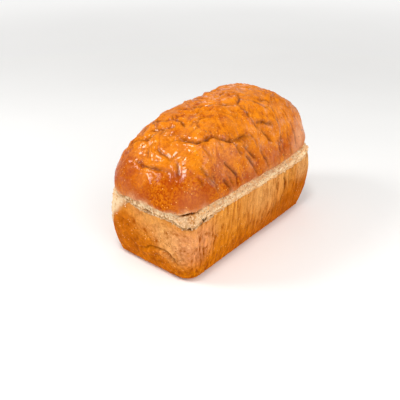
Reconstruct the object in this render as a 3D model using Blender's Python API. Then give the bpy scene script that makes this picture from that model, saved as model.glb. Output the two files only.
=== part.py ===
"""Tin loaf, modelled as one closed solid.

The loaf was baked in an open tin. Its lower part has the tin's tapered shape, a pale torn band
runs round it where the dough rose over the rim, and a domed crown bulges out above the band.
+X runs along the loaf, the long side that shows best faces -Y, and the flat base is at Z = 0.

The solid starts as a cube that is sliced into a fine grid. Every grid point is then placed on
the loaf's form, which is worked out ring by ring from the sizes below, and pushed in or out
along its normal by the relief of the crust: lumps, creases, pleats and dents.
"""

import math

import bmesh
import bpy
import numpy as np
from mathutils import Vector, noise
from mathutils.bvhtree import BVHTree

MM = 0.001

# Part baked inside the tin. The four corners are -X -Y, +X -Y, +X +Y and -X +Y: the dough filled
# only the first one up to the rim, and the others are rounder there.
BASE_LENGTH = 212 * MM
BASE_WIDTH = 102 * MM
BASE_CORNER = 15.5 * MM
BASE_SHIFT = (-0.9 * MM, 2.2 * MM)
LOWER_EDGE = 4 * MM
RIM_LENGTH = 236 * MM
RIM_WIDTH = 118 * MM
RIM_CORNERS = (9.5 * MM, 36 * MM, 31 * MM, 40 * MM)
RIM_CORNER_POWER = 2.5
RIM_HEIGHT = 71.6 * MM
TIN_FLARE = 2.2

# Pale band between the tin's rim and the crown's lower edge
BAND_TOP_LENGTH = 233.5 * MM
BAND_TOP_WIDTH = 105.4 * MM
BAND_TOP_CORNERS = (9 * MM, 29 * MM, 26 * MM, 30 * MM)
BAND_TOP_HEIGHT = 79.5 * MM
BAND_TOP_SHIFT = (-1.4 * MM, 0.4 * MM)
BAND_SLOPE = 1.5
CRACK_ABOVE_RIM = 0.9 * MM
CRACK_REACH = 1.1 * MM
LIP_ABOVE_RIM = 3.0 * MM
LIP_REACH = 1.6 * MM

# Crown
CROWN_LENGTH = 247.5 * MM
CROWN_WIDTH = 120 * MM
CROWN_WIDEST_HEIGHT = 88 * MM
CROWN_RISE = 65.8 * MM
CROWN_LENGTH_POWER = 3.36
CROWN_WIDTH_POWER = 3.43
CROWN_DOME_POWER = 2.6
CROWN_DOME_FULLNESS = 1.64
CROWN_FAR_END_LIFT = 6.5 * MM
CROWN_SHIFT = (-1.5 * MM, -1.4 * MM)
CROWN_CORNER = 24 * MM
CROWN_CORNER_FULLNESS = (0.9, 0, 0, 0)
CROWN_CORNER_FADE = 8

# Unevenness round the loaf, in mm at sixteen places: the middle of the -X end, then half way to
# the corner, the -X -Y corner, a quarter of the long side, its middle, and on round the loaf
RIM_LIFTS = (0, 1.5, -2.5, 1, 0, -1, 1.5, 1, 0, -1, 1, 0, -0.5, 1, 7.5, 5)
BAND_TOP_LIFTS = (-0.5, 0, 4, 4.5, 1.5, 1, 2, 0, -1, 0, 2, 1, 0, 2, 1, -1)
BAND_TOP_WIDENINGS = (0, 0, 4.5, 1, 0, 0, 0, 0, 0, 0, 0, 0, 0, 0, 0, 0)
CRACK_DEPTHS = (2.6, 3.2, 4.5, 1.0, 0.3, 0.5, 1.5, 2.5, 2.5, 3.0, 3.0, 0.8, 0.3, 0.5, 1.2, 3.0)
LIP_DEPTHS = (0.8, 1.4, 2.2, 1.9, 1.8, 1.6, 1.4, 1.2, 1.0, 1.2, 1.6, 0.9, 0.8, 0.9, 0.6, 0.6)

# Grid of the solid
COLUMNS_ALONG = 54
COLUMNS_ACROSS = 26
WALL_LEVELS = (0, 0.02, 0.055, 0.16, 0.33, 0.5, 0.66, 0.82, 0.93, 0.99)
BAND_LEVELS = (0.09, 0.3, 0.52, 0.76, 1)
LIP_LEVELS = (30, 60, 90)
SHOULDER_LEVELS = (0.992, 0.975, 0.95, 0.92, 0.885, 0.85)

# Relief of the crust
CROWN_LUMPS = ((46 * MM, 1.5 * MM), (23 * MM, 1.3 * MM), (13 * MM, 0.6 * MM))
WALL_LUMPS = ((48 * MM, 1.0 * MM), (17 * MM, 0.5 * MM))
BAND_LUMPS = ((14 * MM, 0.8 * MM), (7 * MM, 0.6 * MM))
RELIEF_START = 1.5 * MM
RELIEF_FULL = 12 * MM
CREASE_WIDENING = 1.2
LIP_PLACE = 2.2
LIP_SPREAD = 1.3
PLEAT_SEED = 7
HIDDEN_PLEATS = 15
HIDDEN_CREASES = 6

# Creases of the crown's top: width, depth and raised lip in mm, then the route seen from above.
# The lip is on the right-hand side of the route, or on the left where it is negative.
TOP_CREASES = (
    (3.4, 5.0, 1.9, ((-81, -18), (-80, -25), (-76, -32), (-68, -36), (-60, -38), (-54, -42))),
    (3.4, 5.0, 1.9, ((-54, -42), (-48, -46), (-41, -48))),
    (3.4, 2.6, 1.2, ((-41, -48), (-29, -48), (-16, -49))),
    (3.4, 4.0, -2.0, ((-111, 10), (-113, 1), (-112, -10), (-110, -19), (-109, -28))),
    (3.2, 2.4, 1.6, ((-98, -6), (-100, -12), (-100, -18), (-102, -23))),
    (3.2, 2.6, 1.8, ((-98, -30), (-102, -34), (-107, -38))),
    (3.6, 3.6, 2.0, ((-36, 3), (-31, -3), (-24, -8), (-17, -16), (-7, -22))),
    (3.2, 2.4, 1.4, ((17, -12), (8, -20), (-1, -25))),
    (3.4, 3.6, 1.2, ((20, -29), (24, -33), (31, -39))),
    (3.2, 2.8, -1.4, ((4, -45), (16, -47), (26, -50))),
    (3.2, 2.6, 1.6, ((-1, -31), (0, -35), (-2, -41), (0, -47), (3, -49))),
    (3.4, 2.6, 1.4, ((-72, 30), (-71, 16), (-64, 7))),
    (3.4, 2.2, 1.4, ((-82, 18), (-79, 4), (-71, -3))),
    (3.4, 2.0, 1.2, ((-95, 24), (-92, 14), (-84, 6))),
    (3.2, 2.4, 1.4, ((-65, 9), (-63, -3), (-68, -12))),
)

# Pleats and folds down the shoulder of the long side that shows: the same, then the route seen
# from that side, as places along the loaf and heights
SIDE_PLEATS = (
    (3.4, 3.2, 1.8, ((-61, 115), (-53, 106), (-50, 99), (-50, 91))),
    (3.4, 3.4, 1.8, ((-30, 113), (-22, 103), (-15, 91))),
    (3.2, 2.4, 1.2, ((-30, 122), (-23, 113), (-13, 105))),
    (3.2, 3.0, 1.6, ((-4, 109), (2, 98), (7, 90))),
    (3.2, 2.6, 1.6, ((-44, 132), (-40, 123), (-36, 116))),
    (3.2, 2.4, 1.4, ((6, 128), (10, 121), (17, 112))),
    (3.6, 2.0, 1.0, ((-87, 117), (-81, 104), (-77, 95))),
    (3.4, 2.8, 1.4, ((49, 107), (51, 97), (53, 88))),
    (3.4, 3.4, 1.8, ((39, 138), (38, 126), (37, 116), (35, 106))),
    (4.0, 4.2, 1.2, ((31, 107), (28, 99))),
    (3.2, 2.4, 1.2, ((-67, 102), (-63, 95), (-61, 89))),
    (3.4, 2.6, 1.2, ((64, 118), (67, 106), (68, 94))),
)

# Folds of the walls: routes on the end that shows, as places across and heights, and on the
# long side that shows, as places along and heights
END_FOLDS = (
    (3.2, 1.8, 1.4, ((10, 23), (0, 26), (-8, 32), (-19, 33), (-31, 32), (-35, 24), (-46, 20))),
    (3.2, 1.2, 0.6, ((-34, 27), (-43, 29), (-50, 33))),
)
SIDE_FOLDS = (
    (3.6, 1.8, 0.8, ((52, 64), (56, 44), (58, 20))),
    (3.6, 1.6, 0.8, ((74, 58), (77, 38), (80, 16))),
    (3.2, 1.2, 0.6, ((30, 62), (32, 40), (35, 14))),
    (3.2, 1.2, 0.6, ((-98, 60), (-96, 44), (-93, 30))),
)


def remove_scene_objects():
    """Start from an empty scene."""
    for item in list(bpy.data.objects):
        bpy.data.objects.remove(item, do_unlink=True)


def smooth_step(value, low, high):
    """0 below low, 1 above high, and an even curve between."""
    part = np.clip((value - low) / (high - low), 0, 1)
    return part * part * (3 - 2 * part)


def place_round(u, v):
    """How far round the loaf a point of the unit square's edge lies, from 0 to 8.

    0 is the middle of the -X end, 1 the -X -Y corner, 2 the middle of the -Y side, and so on.
    """
    along = np.abs(v) >= np.abs(u)
    turn = np.where(along & (v < 0), 2 + u, np.where(along, 6 - u, np.where(u > 0, 4 + v, -v)))
    return np.mod(turn, 8)


def round_the_loaf(values, turn):
    """Read an unevenness, given in mm at sixteen places, at any place round the loaf."""
    table = np.array(values, dtype=float) * MM
    position = turn * len(table) / 8
    first = np.floor(position).astype(int) % len(table)
    part = position - np.floor(position)
    blend = (1 - np.cos(math.pi * part)) / 2
    return table[first] * (1 - blend) + table[(first + 1) % len(table)] * blend


def rectangle_reach(u, v, half_length, half_width, corner):
    """How far along the ray (u, v) the outline of a rectangle with round corners lies."""
    x = np.abs(u) * half_length
    y = np.abs(v) * half_width
    inner_x = half_length - corner
    inner_y = half_width - corner
    square = x * x + y * y
    along = x * inner_x + y * inner_y
    inner = inner_x**2 + inner_y**2 - corner**2
    arc = (along + np.sqrt(np.maximum(along**2 - square * inner, 0))) / square
    return np.where((x > inner_x) & (y > inner_y), arc, 1.0)


def at_corners(u, v, values):
    """Choose among four values by the quarter of the loaf that the ray (u, v) points to."""
    front = np.where(u < 0, values[0], values[1])
    back = np.where(u < 0, values[3], values[2])
    return np.where(v < 0, front, back)


def crown_reach(u, v, part_out):
    """How far along the ray (u, v) the crown's outline lies, on the unit square's scale.

    The outline is an oval that is drawn out into a fuller corner low on the crown.
    """
    reach = np.ones_like(u)
    for _ in range(8):
        length_term = (reach * np.abs(u)) ** CROWN_LENGTH_POWER
        width_term = (reach * np.abs(v)) ** CROWN_WIDTH_POWER
        slope = CROWN_LENGTH_POWER * length_term + CROWN_WIDTH_POWER * width_term
        reach = reach * (1 - (length_term + width_term - 1) / slope)
    full = rectangle_reach(u, v, CROWN_LENGTH / 2, CROWN_WIDTH / 2, CROWN_CORNER)
    fullness = at_corners(u, v, CROWN_CORNER_FULLNESS) * part_out**CROWN_CORNER_FADE
    return reach + (full - reach) * fullness


def wall_points(u, v, turn, level):
    """Points on the tin's wall, from the base at level 0 to the rim at level 1."""
    height = level * (RIM_HEIGHT + round_the_loaf(RIM_LIFTS, turn))
    flare = 1 - (1 - level) ** TIN_FLARE
    below = np.clip(1 - height / LOWER_EDGE, 0, 1)
    tuck = LOWER_EDGE * (1 - np.sqrt(1 - below**2))
    half_length = (BASE_LENGTH + (RIM_LENGTH - BASE_LENGTH) * flare) / 2 - tuck
    half_width = (BASE_WIDTH + (RIM_WIDTH - BASE_WIDTH) * flare) / 2 - tuck
    corner = BASE_CORNER + (at_corners(u, v, RIM_CORNERS) - BASE_CORNER) * level**RIM_CORNER_POWER
    reach = rectangle_reach(u, v, half_length, half_width, corner)
    x = u * half_length * reach + BASE_SHIFT[0] * (1 - flare)
    y = v * half_width * reach + BASE_SHIFT[1] * (1 - flare)
    return np.stack([x, y, height], axis=1)


def band_points(u, v, turn, level):
    """Points on the pale band, from the rim at level 0 to the crown's lower edge at level 1."""
    rim = RIM_HEIGHT + round_the_loaf(RIM_LIFTS, turn)
    top = BAND_TOP_HEIGHT + round_the_loaf(BAND_TOP_LIFTS, turn)
    above = level * (top - rim)
    crack = round_the_loaf(CRACK_DEPTHS, turn) * np.exp(-(((above - CRACK_ABOVE_RIM) / CRACK_REACH) ** 2))
    lip = round_the_loaf(LIP_DEPTHS, turn) * np.exp(-(((above - LIP_ABOVE_RIM) / LIP_REACH) ** 2))
    slope = level**BAND_SLOPE
    half_length = (RIM_LENGTH + (BAND_TOP_LENGTH - RIM_LENGTH) * slope) / 2 - crack + lip
    widening = round_the_loaf(BAND_TOP_WIDENINGS, turn) * slope
    half_width = (RIM_WIDTH + (BAND_TOP_WIDTH - RIM_WIDTH) * slope) / 2 - crack + lip + widening
    rim_corner = at_corners(u, v, RIM_CORNERS)
    corner = rim_corner + (at_corners(u, v, BAND_TOP_CORNERS) - rim_corner) * slope
    reach = rectangle_reach(u, v, half_length, half_width, corner)
    x = u * half_length * reach + BAND_TOP_SHIFT[0] * slope
    y = v * half_width * reach + BAND_TOP_SHIFT[1] * slope
    return np.stack([x, y, rim + above], axis=1)


def crown_lip_points(u, v, turn, degrees):
    """Points where the crown curls out over the band, from its lower edge to its widest ring."""
    angle = math.radians(degrees)
    outward = math.sin(angle)
    upward = 1 - math.cos(angle)
    start = band_points(u, v, turn, 1.0)
    reach = crown_reach(u, v, 1.0)
    x = u * reach * CROWN_LENGTH / 2 + CROWN_SHIFT[0]
    y = v * reach * CROWN_WIDTH / 2 + CROWN_SHIFT[1]
    height = start[:, 2] + (CROWN_WIDEST_HEIGHT - start[:, 2]) * upward
    return np.stack(
        [start[:, 0] + (x - start[:, 0]) * outward, start[:, 1] + (y - start[:, 1]) * outward, height],
        axis=1,
    )


def dome_height(part_out, lengthwise):
    """Height of the crown at a given part of the way out to its outline, 0 at the middle."""
    rise = np.clip(1 - part_out**CROWN_DOME_POWER, 0, 1) ** (1 / CROWN_DOME_FULLNESS)
    lift = CROWN_FAR_END_LIFT * lengthwise * np.clip(1 - part_out**2, 0, 1)
    return CROWN_WIDEST_HEIGHT + CROWN_RISE * rise + lift


def crown_points(u, v, part_out):
    """Points of the dome: u and v on the unit square's edge, and the part of the way out."""
    reach = crown_reach(u, v, part_out) * part_out
    x = u * reach * CROWN_LENGTH / 2 + CROWN_SHIFT[0]
    y = v * reach * CROWN_WIDTH / 2 + CROWN_SHIFT[1]
    return np.stack([x, y, dome_height(part_out, u * reach)], axis=1)


def point_on_top(x, y):
    """The dome's surface above a place seen from above."""
    across = abs(x - CROWN_SHIFT[0]) / (CROWN_LENGTH / 2)
    depth = abs(y - CROWN_SHIFT[1]) / (CROWN_WIDTH / 2)
    low, high = 0.0, 1.0
    for _ in range(30):
        middle = (low + high) / 2
        outside = (across / middle) ** CROWN_LENGTH_POWER + (depth / middle) ** CROWN_WIDTH_POWER > 1
        low, high = (middle, high) if outside else (low, middle)
    return (x, y, float(dome_height(high, (x - CROWN_SHIFT[0]) / (CROWN_LENGTH / 2))))


def point_on_shoulder(x, height, side):
    """The crown's surface at a place along the loaf and a height, on the side -1 or +1."""
    rise = max(height - CROWN_WIDEST_HEIGHT, 0) / CROWN_RISE
    part_out = (1 - rise**CROWN_DOME_FULLNESS) ** (1 / CROWN_DOME_POWER)
    across = abs(x - CROWN_SHIFT[0]) / (CROWN_LENGTH / 2 * part_out)
    width = part_out * max(1 - across**CROWN_LENGTH_POWER, 0) ** (1 / CROWN_WIDTH_POWER)
    return (x, side * width * CROWN_WIDTH / 2 + CROWN_SHIFT[1], height)


def wall_half_size(height, base_size, rim_size):
    """Half the length or width of the tin's wall at a height."""
    flare = 1 - (1 - height / RIM_HEIGHT) ** TIN_FLARE
    return (base_size + (rim_size - base_size) * flare) / 2


def crease_routes():
    """Every crease, pleat and fold as width, depth, lip and a route of points in space."""
    routes = []
    for width, depth, lip, places in TOP_CREASES:
        routes.append((width, depth, lip, [point_on_top(x * MM, y * MM) for x, y in places]))
    for width, depth, lip, places in SIDE_PLEATS:
        routes.append((width, depth, lip, [point_on_shoulder(x * MM, z * MM, -1) for x, z in places]))
    for width, depth, lip, places in END_FOLDS:
        route = [(-wall_half_size(z * MM, BASE_LENGTH, RIM_LENGTH), y * MM, z * MM) for y, z in places]
        routes.append((width, depth, lip, route))
    for width, depth, lip, places in SIDE_FOLDS:
        route = [(x * MM, -wall_half_size(z * MM, BASE_WIDTH, RIM_WIDTH), z * MM) for x, z in places]
        routes.append((width, depth, lip, route))
    return routes + hidden_routes()


def hidden_routes():
    """Pleats and creases for the back of the loaf, drawn from a seed in the manner of the front."""
    draw = np.random.default_rng(PLEAT_SEED)
    routes = []
    for index in range(HIDDEN_PLEATS):
        start = (-96 + 192 * (index + draw.uniform(-0.3, 0.3)) / (HIDDEN_PLEATS - 1)) * MM
        top = draw.uniform(106, 130) * MM
        bottom = draw.uniform(89, 96) * MM
        lean = draw.uniform(4, 14) * MM
        heights = np.linspace(top, bottom, 4)
        places = start + lean * np.linspace(0, 1, 4)
        route = [point_on_shoulder(x, z, 1) for x, z in zip(places, heights)]
        routes.append((draw.uniform(3.2, 3.8), draw.uniform(1.6, 3.2), draw.uniform(0.8, 1.6), route))
    for index in range(HIDDEN_CREASES):
        x = (-80 + 165 * index / (HIDDEN_CREASES - 1) + draw.uniform(-10, 10)) * MM
        y = draw.uniform(18, 34) * MM
        length = draw.uniform(16, 34) * MM
        bend = draw.uniform(-9, 9) * MM
        steps = np.linspace(0, 1, 4)
        route = [point_on_top(x + length * s, y + bend * math.sin(math.pi * s) + 6 * MM * s) for s in steps]
        routes.append((draw.uniform(3.6, 4.2), draw.uniform(1.6, 3.2), draw.uniform(0.8, 1.6), route))
    return routes


def crease_relief(points, normals, surface, width, depth, lip, route):
    """How far one crease moves each point along its normal: a furrow with a raised lip beside it."""
    nearest = np.full(len(points), np.inf)
    side = np.zeros(len(points))
    ends = np.zeros(len(points))
    corners = np.array([surface.find_nearest(place)[0] for place in route])
    lengths = np.linalg.norm(np.diff(corners, axis=0), axis=1)
    run = np.concatenate([[0], np.cumsum(lengths)])
    for index, length in enumerate(lengths):
        first = corners[index]
        step = corners[index + 1] - first
        part = np.clip((points - first) @ step / length**2, 0, 1)
        away = points - (first + part[:, None] * step)
        distance = np.linalg.norm(away, axis=1)
        closer = distance < nearest
        nearest[closer] = distance[closer]
        side[closer] = np.einsum("ij,ij->i", np.cross(np.broadcast_to(step, away.shape), normals), away)[closer]
        ends[closer] = ((run[index] + part * length) / run[-1])[closer]
    fade = 0.35 + 0.65 * np.sin(math.pi * ends) ** 0.5
    spread = width * CREASE_WIDENING * MM
    furrow = -depth * MM * np.exp(-((nearest / spread) ** 2))
    beside = np.exp(-(((nearest - LIP_PLACE * spread) / (LIP_SPREAD * spread)) ** 2))
    raised = np.where(side * np.sign(lip) > 0, abs(lip) * MM * beside, 0)
    return (furrow + raised) * fade


def lumps(points, sizes):
    """Gentle swellings of several sizes, added up."""
    total = np.zeros(len(points))
    for index, (size, height) in enumerate(sizes):
        shift = Vector((3.7, 1.3, 5.1)) * (index + 1)
        total += height * np.array([noise.noise(Vector(point) / size + shift) for point in points])
    return total


def sliced_cube(levels):
    """A cube of side 2 in X and Y and height 1, sliced into the grid of the solid."""
    grid = bmesh.new()
    bmesh.ops.create_cube(grid, size=1)
    bmesh.ops.translate(grid, verts=grid.verts, vec=(0, 0, 0.5))
    bmesh.ops.scale(grid, verts=grid.verts, vec=(2, 2, 1))
    cuts = []
    for index in range(1, COLUMNS_ALONG):
        cuts.append(((-1 + 2 * index / COLUMNS_ALONG, 0, 0), (1, 0, 0)))
    for index in range(1, COLUMNS_ACROSS):
        cuts.append(((0, -1 + 2 * index / COLUMNS_ACROSS, 0), (0, 1, 0)))
    for index in range(1, levels):
        cuts.append(((0, 0, index / levels), (0, 0, 1)))
    for place, direction in cuts:
        every = grid.verts[:] + grid.edges[:] + grid.faces[:]
        bmesh.ops.bisect_plane(grid, geom=every, dist=1e-6, plane_co=place, plane_no=direction)
    return grid


def join_base_faces(grid):
    """Make the flat base one face."""
    base = [face for face in grid.faces if all(vert.co.z < 1e-6 for vert in face.verts)]
    bmesh.ops.dissolve_faces(grid, faces=base, use_verts=True)


def smooth_form(cube_points, levels):
    """Place the cube's grid points on the loaf's form, and say which part each belongs to."""
    u, v = cube_points[:, 0], cube_points[:, 1]
    part_out = np.maximum(np.abs(u), np.abs(v))
    middle = part_out < 1e-6
    edge_u = np.where(middle, 1, u / np.maximum(part_out, 1e-6))
    edge_v = np.where(middle, 0, v / np.maximum(part_out, 1e-6))
    turn = place_round(edge_u, edge_v)
    level_index = np.rint(cube_points[:, 2] * (len(levels) - 1)).astype(int)
    placed = np.zeros_like(cube_points)
    for index, (make, value) in enumerate(levels):
        chosen = level_index == index
        placed[chosen] = make(edge_u[chosen], edge_v[chosen], turn[chosen], value)
    top = (level_index == len(levels) - 1) & (part_out < 1 - 1e-6)
    placed[top] = crown_points(edge_u[top], edge_v[top], part_out[top] * SHOULDER_LEVELS[-1])
    crown_start = len(WALL_LEVELS) + len(BAND_LEVELS)
    on_crown = (level_index >= crown_start).astype(float)
    on_band = ((level_index >= len(WALL_LEVELS)) & (level_index < crown_start)).astype(float)
    return placed, on_crown, on_band


def loaf_levels():
    """The rings of the solid from the base up: the function that places each, and its level."""
    levels = [(wall_points, level) for level in WALL_LEVELS]
    levels += [(band_points, level) for level in BAND_LEVELS]
    levels += [(crown_lip_points, degrees) for degrees in LIP_LEVELS]
    levels += [(lambda u, v, turn, part: crown_points(u, v, part), part) for part in SHOULDER_LEVELS]
    return levels


def build_loaf_mesh():
    """The loaf as one closed mesh, its base flat on Z = 0 and its box centred on the origin."""
    levels = loaf_levels()
    grid = sliced_cube(len(levels) - 1)
    join_base_faces(grid)
    cube_points = np.array([vert.co[:] for vert in grid.verts])
    points, on_crown, on_band = smooth_form(cube_points, levels)
    for vert, point in zip(grid.verts, points):
        vert.co = point
    grid.normal_update()
    normals = np.array([vert.normal[:] for vert in grid.verts])
    surface = BVHTree.FromBMesh(grid)

    relief = lumps(points, CROWN_LUMPS) * on_crown
    relief += lumps(points, BAND_LUMPS) * on_band
    relief += lumps(points, WALL_LUMPS) * (1 - on_crown - on_band)
    for width, depth, lip, route in crease_routes():
        relief += crease_relief(points, normals, surface, width, depth, lip, route)
    relief *= smooth_step(points[:, 2], RELIEF_START, RELIEF_FULL)
    points = points + normals * relief[:, None]

    middle = (points.min(axis=0) + points.max(axis=0)) / 2
    for vert, point in zip(grid.verts, points):
        vert.co = (point[0] - middle[0], point[1] - middle[1], point[2])
    mesh = bpy.data.meshes.new("loaf")
    grid.to_mesh(mesh)
    grid.free()
    return mesh


def crust_material():
    """Browned crust: warm orange brown, dull with a faint glaze."""
    material = bpy.data.materials.new("browned crust")
    material.use_nodes = True
    shader = material.node_tree.nodes["Principled BSDF"]
    shader.inputs["Base Color"].default_value = (0.55, 0.22, 0.06, 1)
    shader.inputs["Roughness"].default_value = 0.5
    shader.inputs["Metallic"].default_value = 0
    return material


def main():
    remove_scene_objects()
    collection = bpy.data.collections.new("tin loaf")
    bpy.context.scene.collection.children.link(collection)
    loaf = bpy.data.objects.new("loaf", build_loaf_mesh())
    loaf.data.materials.append(crust_material())
    loaf.data.shade_smooth()
    collection.objects.link(loaf)


main()
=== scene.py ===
"""The looks of a tin loaf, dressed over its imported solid.

The loaf's crust is rebuilt at about a millimetre a face from the same named sizes as the solid,
with its creases, pleats, torn band and tin-baked walls. Tufts and strands of torn crumb and flakes
of bran are strewn over it. A pale floor, soft lights and the camera complete the picture.
"""

import logging
import math
from dataclasses import dataclass, field, fields
from enum import Enum

import bmesh
import bpy
import numpy as np
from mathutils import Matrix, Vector, noise
from mathutils.bvhtree import BVHTree


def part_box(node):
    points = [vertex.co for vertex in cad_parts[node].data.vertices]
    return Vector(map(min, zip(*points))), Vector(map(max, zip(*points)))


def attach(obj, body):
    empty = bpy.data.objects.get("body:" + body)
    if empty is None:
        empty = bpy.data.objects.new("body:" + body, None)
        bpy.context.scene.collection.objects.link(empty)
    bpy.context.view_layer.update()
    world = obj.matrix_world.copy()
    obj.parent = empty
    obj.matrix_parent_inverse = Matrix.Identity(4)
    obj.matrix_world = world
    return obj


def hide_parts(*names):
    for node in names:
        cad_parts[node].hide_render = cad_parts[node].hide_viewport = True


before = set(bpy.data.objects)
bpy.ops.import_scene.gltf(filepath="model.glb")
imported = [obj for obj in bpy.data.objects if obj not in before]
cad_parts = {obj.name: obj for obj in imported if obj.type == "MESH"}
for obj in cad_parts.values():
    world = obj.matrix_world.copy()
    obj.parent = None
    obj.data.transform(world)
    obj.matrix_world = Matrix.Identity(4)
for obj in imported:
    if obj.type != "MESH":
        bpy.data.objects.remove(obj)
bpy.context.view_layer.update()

Socket = bpy.types.NodeSocket
LOG = logging.getLogger("tin loaf")
MM = 0.001
BODY = "root"
NODE = "loaf"
IMAGE_WIDTH = 400
SENSOR_WIDTH = 36.0
ORIGIN = (0.0, 0.0, 0.0)
WHITE = (1.0, 1.0, 1.0, 1.0)
REACH_STEPS = 8
HALVINGS = 30
TINY = 1e-6
# furrow carries painted shade in creases and cracks, ridge a painted highlight on the band's lit ridge.
CARRIED = ("crown", "above_edge", "furrow", "pale", "crumbly", "end", "ridge", "strands", "tufts", "bran")


def colour(text: str) -> tuple[float, float, float, float]:
    """Turn a colour written as on screen into the linear values that shaders use.

    Args:
        text: Six hexadecimal digits, such as "E08020".

    Returns:
        Red, green, blue and alpha.
    """
    parts = [int(text[index:index + 2], 16) / 255 for index in (0, 2, 4)]
    linear = [part / 12.92 if part <= 0.04045 else ((part + 0.055) / 1.055) ** 2.4 for part in parts]
    return (linear[0], linear[1], linear[2], 1.0)


def smooth_step(value: np.ndarray, low: float, high: float) -> np.ndarray:
    """Rise evenly from 0 at low to 1 at high.

    Args:
        value: Values to grade.
        low: Where the rise starts.
        high: Where it ends.

    Returns:
        The graded values.
    """
    part = np.clip((value - low) / (high - low), 0, 1)
    return part * part * (3 - 2 * part)


def bell(value: np.ndarray, middle: float, spread: float | np.ndarray) -> np.ndarray:
    """Rise to 1 at a middle and fall away on both sides.

    Args:
        value: Values to grade.
        middle: Where the result is 1.
        spread: How far from the middle the result is still a third.

    Returns:
        The graded values.
    """
    return np.exp(-(((value - middle) / spread) ** 2))


def noise_at(points: np.ndarray, size: float, shift: float = 0.0) -> np.ndarray:
    """Read smooth noise between about -1 and 1 at each point.

    Args:
        points: Points in metres, one a row.
        size: Size of one swelling in metres.
        shift: Moves the pattern, so that two readings differ.

    Returns:
        One value for each point.
    """
    offset = Vector((3.7, 1.3, 5.1)) * shift
    return np.array([noise.noise(Vector(point) / size + offset) for point in points])


class Where(Enum):
    """Which part of the loaf a crease's places are read on."""

    TOP = "top"
    FRONT_SHOULDER = "front shoulder"
    BACK_SHOULDER = "back shoulder"
    NEAR_END = "near end"
    FRONT_WALL = "front wall"


@dataclass(frozen=True)
class Crease:
    """A furrow in the crust with a raised lip beside it, its sizes in mm.

    The places are (along, across) on the top, (along, height) on a shoulder or the front wall, and
    (across, height) on the near end. The lip is on the right of the route, or left if negative.
    """

    where: Where
    width: float
    depth: float
    lip: float
    places: tuple[tuple[float, float], ...]


@dataclass(frozen=True)
class Unevenness:
    """A value in mm at sixteen places round the loaf, from the middle of the near end."""

    values: tuple[float, ...]

    def at(self, turn: np.ndarray) -> np.ndarray:
        """Read the value at places round the loaf.

        Args:
            turn: Places round the loaf, from 0 to 8.

        Returns:
            The values in metres.
        """
        table = np.array(self.values, dtype=float) * MM
        position = turn * len(table) / 8
        first = np.floor(position).astype(int) % len(table)
        blend = (1 - np.cos(math.pi * (position - np.floor(position)))) / 2
        return table[first] * (1 - blend) + table[(first + 1) % len(table)] * blend


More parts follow.
